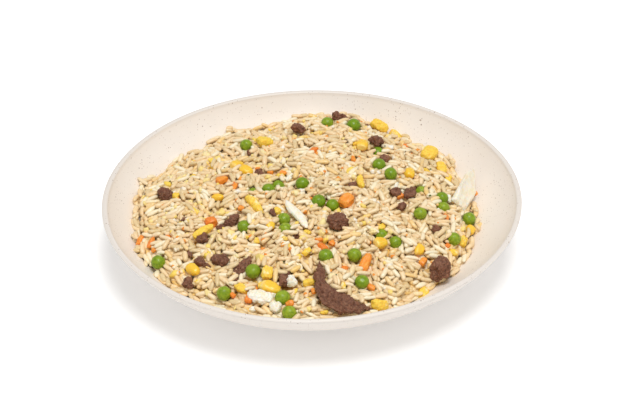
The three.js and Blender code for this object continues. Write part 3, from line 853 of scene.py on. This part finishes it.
def make_peas(name, nodes, scraps, material):
    """Round peas, each with a small dent and a few shallow wrinkles about it."""
    random = np.random.default_rng(5)
    places = []
    for node in nodes:
        low, high = (np.array(corner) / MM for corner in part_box(node))
        places.append(((low + high) / 2, (high - low) * 1.03))
    for x, y, size, lift in scraps:
        places.append((np.array([x, y, float(heap_height(x, y)) + lift]), np.full(3, size)))
    sphere, faces = ball_shape(4, 0.5)
    parts = []
    for number, (centre, size) in enumerate(places):
        dent = random.normal(0, 1, 3) + [0, -0.4, 0.9]
        dent /= np.linalg.norm(dent)
        near = np.arccos(np.clip(2 * sphere @ dent, -1, 1))
        hollow = 0.05 * np.exp(-((near / 0.3) ** 2)) + 0.012 * np.exp(-((near - 0.5) ** 2) / 0.01)
        waves = [noise.noise(Vector(3 * p) + Vector((7.7 * number, 0, 0))) for p in sphere]
        hollow = hollow * random.uniform(0.3, 1.4)
        form = sphere * (1 - hollow + 0.03 * np.array(waves))[:, None]
        parts.append((centre + form * size, faces, sphere * 8 + [0, 0, APART * number]))
    finish_piece(name, joined(name, parts, random), material, "pea", nodes)


# ---- finishes
def glaze_finish(colours):
    """Satin stoneware glaze: warm cream, faintly mottled, with fine dark and pale specks."""
    paint = Finish("Speckled stoneware")
    cloud = paint.noise(22, 4)
    ground = paint.blend(cloud.between(0.3, 0.7), colours.glaze, colours.glaze_shade)
    # Greyer on the lip and outside: thin glaze, and also painted shade that dims the front rim and
    # outer wall.
    ground = paint.blend(paint.own("rim") * 0.85, ground, colours.glaze_rim_and_shade)
    specks = 0
    for scale, size, share in ((420, 0.22, 0.16), (240, 0.16, 0.14), (900, 0.3, 0.2)):
        sockets = {"Color": paint.cells(scale, "Color")}
        chosen = paint.add("ShaderNodeSeparateColor", None, sockets, "Red")
        chosen = chosen.between(share, share - 0.02)
        specks = chosen * paint.cells(scale).between(size, size * 0.5) + specks
    patchy = paint.noise(60, 2).between(0.42, 0.62)
    colour = paint.blend(specks.between(0, 1) * (patchy * 0.55 + 0.35), ground, colours.speck)
    skin = paint.noise(900, 2) * 0.3 + paint.noise(140, 3) - specks * 0.3
    return paint.finish(colour, cloud * 0.15 + 0.36, paint.bump(skin, 0.06), IOR=1.5)


def rice_finish(colours):
    """Moist cooked rice: pale and cloudy, or clear, or stained golden, with painted warm shade on
    the underside of each grain.
    """
    paint = Finish("Cooked rice")
    tint, along = paint.own("tint"), paint.own("along")
    patchy = paint.noise(45, 2).between(0.35, 0.7)
    # The tint carries a real golden stain and, on packed grains, painted shade in the gaps.
    stain_and_shade = tint.between(0.35, 1.05) * (patchy * 0.6 + 0.4)
    colour = paint.blend(stain_and_shade, colours.grain, colours.grain_gold)
    cloudy = paint.noise(700, 2).between(0.42, 0.7) * (1 - along * along)
    pale = paint.own("pale")
    colour = paint.blend(pale.between(0.35, 0.1) * 0.8, colour, colours.grain_clear)
    colour = paint.blend(cloudy * 0.3 + pale.between(0.5, 1) * 0.7, colour, colours.grain_core)
    tips = (along * along).between(0.55, 1.05) * 0.35
    colour = paint.blend(tips, colour, colours.grain_tip)
    # Painted shade: the underside of each grain is blended toward a warmer, darker colour that
    # stands in for the shade beneath it.
    colour = paint.blend(paint.own("upward").between(0.1, -0.8) * 0.7, colour, colours.grain_underside_shade)
    ridges = paint.noise(1500, 3)
    return paint.finish(
        colour,
        ridges * 0.25 + 0.22,
        paint.bump(ridges, 0.04),
        IOR=1.42,
        Coat_Weight=0.12,
        Coat_Roughness=0.2,
        Sheen_Weight=0.25,
        Sheen_Roughness=0.5,
        Sheen_Tint=(1, 0.82, 0.5, 1),
    )


def bed_finish(colours):
    """The rice between and under the loose grains: the same, darker and warmer, as painted shade
    deep in the gaps.
    """
    paint = Finish("Rice bed")
    grains = paint.noise(420, 4)
    # Painted shade: the bed colour is darker than the grains, standing in for the shade deep
    # between them.
    colour = paint.blend(grains.between(0.35, 0.65), colours.bed, colours.grain_gold)
    return paint.finish(colour, 0.5, paint.bump(grains, 0.8))


def pea_finish(colours):
    """Moist pea skins, each its own green, mottled darker."""
    paint = Finish("Pea skin", on_form=True)
    mottle = paint.noise(0.55, 3)
    colour = paint.blend(paint.own("tint") * 0.7, colours.pea, colours.pea_pale)
    colour = paint.blend(mottle.between(0.35, 0.72) * 0.6, colour, colours.pea_dark)
    skin = paint.noise(1.6, 3)
    return paint.finish(
        colour,
        mottle * 0.2 + 0.22,
        paint.bump(skin, 0.12),
        soft=(0.2, (0.5, 1.0, 0.2), 0.0012),
        Specular_IOR_Level=0.3,
        Coat_Weight=0.12,
        Coat_Roughness=0.08,
    )


def corn_finish(colours):
    """Yellow kernels, mottled deeper and pale at the tip."""
    paint = Finish("Corn kernel", on_form=True)
    long = paint.add("ShaderNodeSeparateXYZ", None, {0: paint.place}, "X")
    mottle = paint.noise(0.5, 3)
    colour = paint.blend(mottle.between(0.3, 0.75) * 0.7, colours.corn, colours.corn_deep)
    colour = paint.blend(long.between(2.6, 5.5) * 0.5, colour, colours.corn_tip)
    return paint.finish(
        colour,
        mottle * 0.2 + 0.25,
        paint.bump(paint.noise(2.2, 3), 0.1),
        soft=(0.3, (1.0, 0.6, 0.1), 0.0015),
        Coat_Weight=0.15,
        Coat_Roughness=0.2,
    )


def yolk_finish(colours):
    """Dry crumbly yolk, with egg white mixed into some pieces."""
    paint = Finish("Scrambled yolk", on_form=True)
    crumb = paint.noise(0.9, 4)
    colour = paint.blend(crumb.between(0.35, 0.7), colours.yolk, colours.yolk_deep)
    pale = paint.noise(0.28, 2).between(0.52, 0.72) * paint.own("tint")
    colour = paint.blend(pale, colour, colours.yolk_pale)
    return paint.finish(colour, 0.5, paint.bump(crumb, 0.35), soft=(0.3, (1.0, 0.6, 0.15), 0.0012))


def white_finish(colours):
    """Moist egg white, cloudy and here and there yellowish."""
    paint = Finish("Egg white", on_form=True)
    cloud = paint.noise(0.35, 3)
    colour = paint.blend(cloud.between(0.38, 0.68), colours.white, colours.white_shade)
    yellow = paint.noise(0.2, 2).between(0.6, 0.75) * 0.3
    colour = paint.blend(yellow, colour, colours.yolk_pale)
    skin = paint.bump(paint.noise(1.1, 4), 0.25)
    return paint.finish(colour, cloud * 0.2 + 0.28, skin, soft=(0.4, (1.0, 0.8, 0.6), 0.0015))


def beef_finish(colours):
    """Cooked beef: dark fibres with paler, greyer ones between them, and moist glints."""
    paint = Finish("Cooked beef", on_form=True)
    fibres = paint.noise(1.0, 4, place=paint.stretched((0.25, 1.3, 1.3)))
    crags = paint.noise(0.7, 5, 0.65)
    colour = paint.blend(crags.between(0.35, 0.68), colours.beef_dark, colours.beef)
    colour = paint.blend(fibres.between(0.52, 0.8) * 0.75, colour, colours.beef_pale)
    colour = paint.blend(paint.own("tint") * 0.35, colour, colours.beef_dark)
    skin = paint.bump(fibres * 0.7 + crags, 0.7)
    rough = crags * -0.35 + 0.72
    return paint.finish(colour, rough, skin, Subsurface_Weight=0.05, IOR=1.4)


def carrot_finish(colours):
    """Diced carrot with paler rays, some dice redder."""
    paint = Finish("Diced carrot", on_form=True)
    rays = paint.noise(0.8, 3, place=paint.stretched((0.5, 1.4, 1)))
    colour = paint.blend(rays.between(0.3, 0.7), colours.carrot, colours.carrot_pale)
    colour = paint.blend(paint.own("tint").between(0.5, 1) * 0.6, colour, colours.carrot_deep)
    soft = (0.3, (1.0, 0.45, 0.1), 0.0012)
    return paint.finish(colour, rays * 0.2 + 0.3, paint.bump(rays, 0.15), soft=soft)


def crumb_finish(name, first, second):
    """Dry crumbs, each between two colours."""
    paint = Finish(name)
    colour = paint.blend(paint.own("tint"), first, second)
    return paint.finish(colour, 0.5, paint.bump(paint.noise(1800, 3), 0.12))


def floor_finish(colour):
    """A matt floor that glows a little, so that shadows on it stay soft and pale."""
    paint = Finish("Pale floor")
    shade = paint.blend(paint.noise(3, 2) * 0.03, colour, (0.8, 0.8, 0.8))
    return paint.finish(shade, 0.9, Emission_Color=(1, 1, 1, 1), Emission_Strength=0.22)


# ---- settings
def tone(name, description, colour):
    """A colour that a user can change."""
    limits = {"subtype": "COLOR", "size": 3, "min": 0, "max": 1}
    return FloatVectorProperty(name=name, description=description, default=colour, **limits)


def distance(name, description, millimetres):
    """A length that a user can change."""
    limits = {"subtype": "DISTANCE", "unit": "LENGTH", "min": 0, "precision": 4}
    return FloatProperty(name=name, description=description, default=millimetres * MM, **limits)


def number(name, description, default, least=0):
    """A count that a user can change."""
    return IntProperty(name=name, description=description, min=least, default=default)


class PilafPlateSettings(PropertyGroup):
    """The stoneware plate."""

    segments: number("Segments", "Faces round the plate", 192, 24)
    waver: distance("Waver", "How far the hand-shaped wall strays in and out", 0.25)
    glaze: tone("Glaze", "Colour of the glaze", (0.92, 0.85, 0.775))
    glaze_shade: tone("Glaze shade", "Colour of its darker clouds", (0.89, 0.81, 0.72))
    # Partly thin glaze, partly painted shade: this colour also darkens the lit front rim and outer
    # wall.
    glaze_rim_and_shade: tone("Rim", "Colour where the glaze runs thin on the rim", (0.76, 0.70, 0.64))
    speck: tone("Specks", "Colour of the specks in the glaze", (0.36, 0.26, 0.19))


class PilafRiceSettings(PropertyGroup):
    """The rice."""

    grain_length: distance("Grain length", "Length of a whole cooked grain", 9.2)
    grain_width: distance("Grain width", "Width of a whole cooked grain", 3.1)
    grain_thickness: distance("Grain thickness", "Thickness of a cooked grain", 2.6)
    packed: number("Packed grains", "Grains just under the top", 4300)
    count: number("Grains", "The most loose grains in all", 7900)
    grain: tone("Grain", "Colour of a pale grain", (0.90, 0.66, 0.37))
    grain_gold: tone("Stained grain", "Colour that egg and oil give a grain", (0.93, 0.59, 0.12))
    grain_core: tone("Cloudy middle", "Colour of the chalky part of a grain", (0.97, 0.90, 0.68))
    grain_clear: tone("Clear grain", "Colour of the more see-through grains", (0.74, 0.56, 0.29))
    # Painted shade: this underside colour stands in for the warm shade low on each grain, not for
    # gathered oil.
    grain_underside_shade: tone("Underside", "Colour low on a grain, where oil gathers", (0.95, 0.62, 0.22))
    grain_tip: tone("Tip", "Colour of a grain's ends", (0.91, 0.61, 0.28))
    # Painted shade: the bed's darker, warmer colour stands in for the shade deep between the
    # grains.
    bed: tone("Bed", "Colour deep between the grains", (0.66, 0.40, 0.13))


class PilafToppingSettings(PropertyGroup):
    """What lies in the rice."""

    pea: tone("Pea", "Colour of a pea's skin", (0.20, 0.33, 0.006))
    pea_pale: tone("Pale pea", "Colour of a paler pea", (0.40, 0.49, 0.03))
    pea_dark: tone("Pea shade", "Colour of a pea's darker mottling", (0.085, 0.17, 0.002))
    corn: tone("Corn", "Colour of a corn kernel", (0.98, 0.61, 0.04))
    corn_deep: tone("Corn shade", "Colour of a kernel's darker parts", (0.95, 0.53, 0.035))
    corn_tip: tone("Corn tip", "Colour of a kernel's pale tip", (0.95, 0.80, 0.38))
    yolk: tone("Yolk", "Colour of yellow egg", (0.98, 0.69, 0.085))
    yolk_deep: tone("Yolk shade", "Colour of its darker parts", (0.95, 0.56, 0.05))
    yolk_pale: tone("Pale yolk", "Colour where white is mixed in", (0.95, 0.82, 0.46))
    white: tone("Egg white", "Colour of egg white", (0.96, 0.90, 0.78))
    white_shade: tone("Egg white shade", "Colour of its clearer parts", (0.94, 0.82, 0.60))
    beef: tone("Beef", "Colour of cooked beef", (0.34, 0.15, 0.082))
    beef_pale: tone("Pale beef", "Colour of its paler fibres", (0.48, 0.27, 0.155))
    beef_dark: tone("Dark beef", "Colour of its browned parts", (0.14, 0.052, 0.027))
    carrot: tone("Carrot", "Colour of carrot", (0.88, 0.26, 0.02))
    carrot_pale: tone("Pale carrot", "Colour of its paler rays", (0.92, 0.38, 0.05))
    carrot_deep: tone("Deep carrot", "Colour of the redder pieces", (0.84, 0.19, 0.015))
    pepper: tone("Pepper", "Colour of ground pepper", (0.03, 0.022, 0.015))
    herb: tone("Herb", "Colour of dried herb", (0.10, 0.13, 0.025))


class PilafStudioSettings(PropertyGroup):
    """Floor, light and camera."""

    floor: tone("Floor", "Colour of the floor", (0.95, 0.95, 0.95))
    light: FloatProperty(name="Light", description="Strength of the lamp", min=0, default=1)


# ---- operators
THIN_BELOW = 0.4  # how far below the lip the glaze starts to run thin, in millimetres


class PILAF_OT_plate(Operator):
    """Turn the plate with its foot, curved wall and rounded rim"""

    bl_idname = "pilaf.plate"
    bl_label = "Plate"

    def execute(self, context):
        settings = context.scene.pilaf_plate
        foot_inside = FOOT_SHARE - FOOT_WIDTH_SHARE
        recess = [(share, RECESS_HEIGHT) for share in (0.1, 0.2, 0.3)]
        foot = [
            (foot_inside - 0.012, RECESS_HEIGHT), (foot_inside - 0.004, RECESS_HEIGHT),
            (foot_inside - 0.001, 0.5), (foot_inside + 0.003, 0), (FOOT_SHARE - 0.007, 0),
            (FOOT_SHARE - 0.003, 0.12), (FOOT_SHARE, 0.6),
        ]  # fmt: skip
        outer = zip(*wall_arc((FOOT_SHARE, FOOT_HEIGHT), (1, RIM_HEIGHT), 36))
        outside = [*recess, *foot, *outer]
        lip = [
            (1 - LIP_SHARE / 2 * (1 - math.cos(turn)), RIM_HEIGHT + LIP_ROUND * math.sin(turn))
            for turn in np.linspace(0, math.pi, 11)[1:-1]
        ]
        inner = list(zip(WALL_SHARE, WALL_HEIGHT))[::-1]
        floor = [(share, FLOOR_HEIGHT) for share in (0.3, 0.2, 0.1)]
        rings = [*outside, *lip, *inner, *floor]
        count = settings.segments
        angle = np.arange(count) / count * TURN
        round_plate = [(3 * math.cos(turn), 3 * math.sin(turn)) for turn in angle]
        points, rim = [], []
        for ring, (share, height) in enumerate(rings):
            x, y = ring_point(angle, share)
            free = max(0, (share - FOOT_SHARE) / (1 - FOOT_SHARE)) ** 2
            stray = [noise.noise(Vector((*way, height / 25))) for way in round_plate]
            away = settings.waver / MM * free * (np.array(stray) - 0.35)
            x, y = x + away * np.cos(angle), y + away * np.sin(angle)
            points.append(np.column_stack([x, y, np.full(count, height)]))
            # The glaze is thin, and greyer, on the lip, and all over the outside; that greyer
            # colour is also painted shade that dims the front rim and outer wall.
            thin = (height - RIM_HEIGHT + THIN_BELOW) / (LIP_ROUND + THIN_BELOW)
            rim.append(np.full(count, 1.0 if ring < len(outside) else max(0.0, thin)))
        middle = ring_point(0.0, 0)
        points.append(np.array([[*middle, RECESS_HEIGHT], [*middle, FLOOR_HEIGHT]]))
        rim.append(np.zeros(2))
        faces = ring_faces(len(rings), count)
        mesh = new_mesh("stoneware_plate", np.concatenate(points), faces, rim=np.concatenate(rim))
        finish_piece("stoneware_plate", mesh, glaze_finish(settings), "stoneware", ["plate"])
        return {"FINISHED"}


class PILAF_OT_peas(Operator):
    """Lay the peas, among them those that are half buried"""

    bl_idname = "pilaf.peas"
    bl_label = "Peas"

    def execute(self, context):
        material = pea_finish(context.scene.pilaf_toppings)
        make_peas("peas", nodes_of("pea_"), HIDDEN_PEAS, material)
        return {"FINISHED"}


class PILAF_OT_corn(Operator):
    """Lay the corn kernels"""

    bl_idname = "pilaf.corn"
    bl_label = "Corn"

    def execute(self, context):
        material = corn_finish(context.scene.pilaf_toppings)
        skin, nodes = (0.35, 8, corn_skin), nodes_of("corn_")
        make_toppings("corn_kernels", nodes, CORN_SCRAPS, skin, material, "corn", 3)
        return {"FINISHED"}


class PILAF_OT_egg(Operator):
    """Lay the crumbled egg: its yellow pieces, its white pieces, the strip and the flake"""

    bl_idname = "pilaf.egg"
    bl_label = "Egg"

    def execute(self, context):
        settings = context.scene.pilaf_toppings
        material = yolk_finish(settings)
        skin, nodes = (0.35, 4, yolk_skin), nodes_of("egg_yellow")
        make_toppings("egg_yolk_pieces", nodes, YOLK_SCRAPS, skin, material, "egg_yolk", 3)
        material = white_finish(settings)
        skin, nodes = (0.35, 12, sliver_skin), ["egg_white_strip", "egg_white_flake"]
        make_toppings("egg_white_slivers", nodes, [], skin, material, "egg_white")
        skin, nodes = (0.35, 5, curd_skin), ["egg_white_01"]
        make_toppings("egg_white_curds", nodes, WHITE_SCRAPS, skin, material, "egg_white")
        return {"FINISHED"}


class PILAF_OT_beef(Operator):
    """Lay the chunks, the slice and the scraps of beef"""

    bl_idname = "pilaf.beef"
    bl_label = "Beef"

    def execute(self, context):
        material = beef_finish(context.scene.pilaf_toppings)
        skin, nodes = (0.35, 4, beef_skin), nodes_of("beef_") + nodes_of("big_beef")
        make_toppings("beef_pieces", nodes, BEEF_SCRAPS, skin, material, "beef")
        return {"FINISHED"}


class PILAF_OT_carrot(Operator):
    """Lay the diced and chopped carrot"""

    bl_idname = "pilaf.carrot"
    bl_label = "Carrot"

    def execute(self, context):
        material = carrot_finish(context.scene.pilaf_toppings)
        skin, nodes = (0.3, 2, carrot_skin), nodes_of("carrot")
        make_toppings("carrot_pieces", nodes, CARROT_SCRAPS, skin, material, "carrot", 4.5)
        return {"FINISHED"}


class PILAF_OT_bed(Operator):
    """Heap the bed of rice that the loose grains lie on"""

    bl_idname = "pilaf.bed"
    bl_label = "Rice bed"

    def execute(self, context):
        relief.lay_bed()
        rings, count = 110, 300
        above = 0.15  # how far the underside keeps off the plate
        angle = np.arange(count) / count * TURN
        edge = wall_share(rice_level(angle)) * BED_SHARE
        points = []
        for ring in range(rings, 0, -1):
            x, y = ring_point(angle, edge * ring / rings)
            points.append(np.column_stack([x, y, relief.bed[relief.cells(x, y)]]))
        peak = points[-1][-1, 2]
        for part in (1, 0.9, 0.75, 0.6, 0.45, 0.3, 0.15):
            x, y = ring_point(angle, edge * part)
            points.insert(0, np.column_stack([x, y, wall_height(plate_share(x, y)[1]) + above]))
        faces = ring_faces(len(points), count)
        x, y = ring_point(0.0, 0)
        points.append(np.array([[x, y, FLOOR_HEIGHT + above], [x, y, peak]]))
        mesh = new_mesh("rice_bed", np.concatenate(points), faces)
        finish_piece("rice_bed", mesh, bed_finish(context.scene.pilaf_rice), "rice", ["rice"])
        return {"FINISHED"}


def patches(rows, breadth, height):
    """A value for each grain that drifts over the heap, in patches of a breadth."""
    ways = [Vector((x / breadth, y / breadth, height)) for x, y in rows[:, :2]]
    return np.array([noise.noise(way) for way in ways])


class PILAF_OT_grains(Operator):
    """Strew the loose grains: long, curved, plump and broken ones"""

    bl_idname = "pilaf.grains"
    bl_label = "Loose grains"

    def execute(self, context):
        settings = context.scene.pilaf_rice
        random = np.random.default_rng(11)
        long, wide, thick = (
            getattr(settings, f"grain_{size}") / MM for size in ("length", "width", "thickness")
        )
        # Each kind's share of the grains, length and width, and how far it is bent
        kinds = {
            "long_grains": (0.27, long, wide, 0.12),
            "curved_grains": (0.27, 0.94 * long, 1.04 * wide, 0.55),
            "plump_grains": (0.27, 0.8 * long, 1.08 * wide, 0.2),
            "broken_grains": (0.19, 0.58 * long, wide, 0.08),
        }
        sizes = [kind[:3] for kind in kinds.values()]
        laid = settle_grains(sizes, settings.packed, settings.count, thick, random)
        material = rice_finish(settings)
        tree = grain_tree()
        for kind, (name, (_, whole, width, bend)) in enumerate(kinds.items()):
            rows = np.array([row[1:] for row in laid if row[0] == kind])
            count = len(rows)
            lay = np.column_stack([np.zeros(count), -rows[:, 4], rows[:, 3]])
            across = [random.uniform(0.88, 1.1, count) for _ in range(2)]
            stretch = np.column_stack([rows[:, 5] / whole, *across])
            tint = 0.35 + 0.8 * patches(rows, 13, 5) + random.uniform(-0.4, 0.4, count)
            # Painted shade: packed grains, which show in the gaps, are pushed further toward the
            # golden stain so that the gaps read as warm shade.
            tint = np.clip(np.clip(tint, 0, 1) + 0.25 * rows[:, 6], 0, 1)
            pale = 0.5 + 0.9 * patches(rows, 10, 9) + random.uniform(-0.45, 0.45, count)
            looks = {"tint": tint, "pale": np.clip(pale, 0, 1)}
            points = new_mesh(name, rows[:, :3], [], lay=lay, stretch=stretch, **looks)
            inputs = {"Length": whole * MM, "Width": width * MM, "Thickness": thick * MM}
            inputs |= {"Bend": bend * MM, "Roll": 0.5, "Seed": kind, "Finish": material}
            mesh = strewn(name, tree, points, **inputs)
            finish_piece(name, mesh, material, "rice")
        return {"FINISHED"}


KNOTS = 110  # places that the crumbs gather at, their reach and the spread round each
KNOT_REACH = 115
KNOT_SPREAD = 9
CRUMB_SUNK = 0.32  # share of a crumb's size that is sunk between the grains


class PILAF_OT_crumbs(Operator):
    """Scatter egg crumbs, ground pepper and dried herb over the rice"""

    bl_idname = "pilaf.crumbs"
    bl_label = "Crumbs and specks"

    def execute(self, context):
        settings = context.scene.pilaf_toppings
        tree = crumb_tree()
        # Each kind's slot, number, range of sizes and two colours
        kinds = [
            ("yolk_crumbs", "egg_yolk", 260, (2.4, 6.0), settings.yolk, settings.yolk_pale),
            ("white_crumbs", "egg_white", 60, (2.0, 4.6), settings.white, settings.white_shade),
            ("carrot_crumbs", "carrot", 90, (1.8, 4.0), settings.carrot, settings.carrot_pale),
            ("pepper_specks", "beef", 150, (0.4, 0.9), settings.pepper, settings.beef_dark),
            ("herb_specks", "pea", 70, (0.5, 1.4), settings.herb, settings.pea_dark),
        ]
        for kind, (name, slot, count, sizes, first, second) in enumerate(kinds):
            random = np.random.default_rng(30 + kind)
            tries = 4 * count
            knots = random.uniform(-KNOT_REACH, KNOT_REACH, (KNOTS, 2))
            near = knots[random.integers(0, KNOTS, tries)]
            x, y = (near + random.normal(0, KNOT_SPREAD, (tries, 2))).T
            free = relief.covered[relief.cells(x, y)] == Relief.EMPTY
            kept = np.flatnonzero(free & (heap_place(x, y)[1] < 0.97))[:count]
            x, y, count = x[kept], y[kept], len(kept)
            size = sizes[0] + (sizes[1] - sizes[0]) * random.random(count) ** 1.5
            z = relief.top[relief.cells(x, y)] - CRUMB_SUNK * size
            lay = random.uniform(0, TURN, (count, 3))
            stretch = (size * MM)[:, None] * random.uniform(0.55, 1.25, (count, 3))
            places = np.column_stack([x, y, z])
            points = new_mesh(name, places, [], lay=lay, stretch=stretch, tint=random.random(count))
            material = crumb_finish(name.replace("_", " ").capitalize(), first, second)
            inputs = {"Roughness": 0.9, "Roll": 1.0, "Seed": kind, "Finish": material}
            mesh = strewn(name, tree, points, **inputs)
            finish_piece(name, mesh, material, slot)
        return {"FINISHED"}


# The studio
FLOOR_REACH = 4000
ROOM_LIGHT = 0.51  # strength of the even light from all round
LAMP_PLACE = (0.1, -0.3, 1.45)  # in metres, as the lamp's size and the camera's places are
LAMP_SIZE = 0.7
LAMP_POWER = 13.2
CAMERA_AIM = (-0.00094, 0.0057, 0.025)
CAMERA_LEAN = math.radians(37)  # down from level
CAMERA_AWAY = 1.2
LENS = 112.35
SENSOR = 36


class PILAF_OT_studio(Operator):
    """Set the pale floor, the soft light and the camera"""

    bl_idname = "pilaf.studio"
    bl_label = "Studio"

    def execute(self, context):
        settings = context.scene.pilaf_studio
        scene = context.scene
        scene.view_settings.view_transform = "Standard"
        corners = [(-1, -1, 0), (1, -1, 0), (1, 1, 0), (-1, 1, 0)]
        floor = new_mesh("floor", FLOOR_REACH * np.array(corners), [(0, 1, 2, 3)])
        floor.materials.append(floor_finish(settings.floor))
        link_object("floor", floor)
        world = scene.world or bpy.data.worlds.new("Studio")
        scene.world = world
        world.use_nodes = True
        background = world.node_tree.nodes["Background"]
        background.inputs["Color"].default_value = (1, 1, 1, 1)
        background.inputs["Strength"].default_value = ROOM_LIGHT
        lamp = bpy.data.lights.new("Front softbox", "AREA")
        lamp.shape, lamp.size, lamp.energy = "DISK", LAMP_SIZE, LAMP_POWER * settings.light
        stand = link_object("Front softbox", lamp)
        stand.location = LAMP_PLACE
        stand.rotation_euler = (-Vector(LAMP_PLACE)).to_track_quat("-Z", "Y").to_euler()
        camera = bpy.data.cameras.new("Camera")
        camera.lens, camera.sensor_width = LENS, SENSOR
        camera.clip_start, camera.clip_end = 0.05, 20
        eye = link_object("Camera", camera)
        x, y, z = CAMERA_AIM
        back, up = math.cos(CAMERA_LEAN), math.sin(CAMERA_LEAN)
        eye.location = (x, y - CAMERA_AWAY * back, z + CAMERA_AWAY * up)
        eye.rotation_euler = (math.pi / 2 - CAMERA_LEAN, 0, 0)
        scene.camera = eye
        return {"FINISHED"}


class PILAF_PT_panel(Panel):
    """Lists the settings and the pieces."""

    bl_label = "Plate of pilaf"
    bl_idname = "PILAF_PT_panel"
    bl_space_type = "VIEW_3D"
    bl_region_type = "UI"
    bl_category = "Pilaf"

    def draw(self, context):
        for title, group in SETTINGS.items():
            box = self.layout.box()
            box.label(text=title)
            settings = getattr(context.scene, group)
            for name in settings.bl_rna.properties.keys():
                if name not in ("name", "rna_type"):
                    box.prop(settings, name)
        for operator in OPERATORS:
            self.layout.operator(operator.bl_idname)


SETTINGS = {
    "Plate": "pilaf_plate",
    "Rice": "pilaf_rice",
    "Toppings": "pilaf_toppings",
    "Studio": "pilaf_studio",
}
GROUPS = (PilafPlateSettings, PilafRiceSettings, PilafToppingSettings, PilafStudioSettings)
OPERATORS = (
    PILAF_OT_plate,
    PILAF_OT_peas,
    PILAF_OT_corn,
    PILAF_OT_egg,
    PILAF_OT_beef,
    PILAF_OT_carrot,
    PILAF_OT_bed,
    PILAF_OT_grains,
    PILAF_OT_crumbs,
    PILAF_OT_studio,
)
CLASSES = (*GROUPS, *OPERATORS, PILAF_PT_panel)


def register():
    for entry in CLASSES:
        bpy.utils.register_class(entry)
    for group, name in zip(GROUPS, SETTINGS.values()):
        setattr(bpy.types.Scene, name, PointerProperty(type=group))


def unregister():
    for name in SETTINGS.values():
        delattr(bpy.types.Scene, name)
    for entry in reversed(CLASSES):
        bpy.utils.unregister_class(entry)


def main():
    register()
    for operator in OPERATORS:
        group, name = operator.bl_idname.split(".")
        getattr(getattr(bpy.ops, group), name)()


if __name__ == "__main__":
    main()
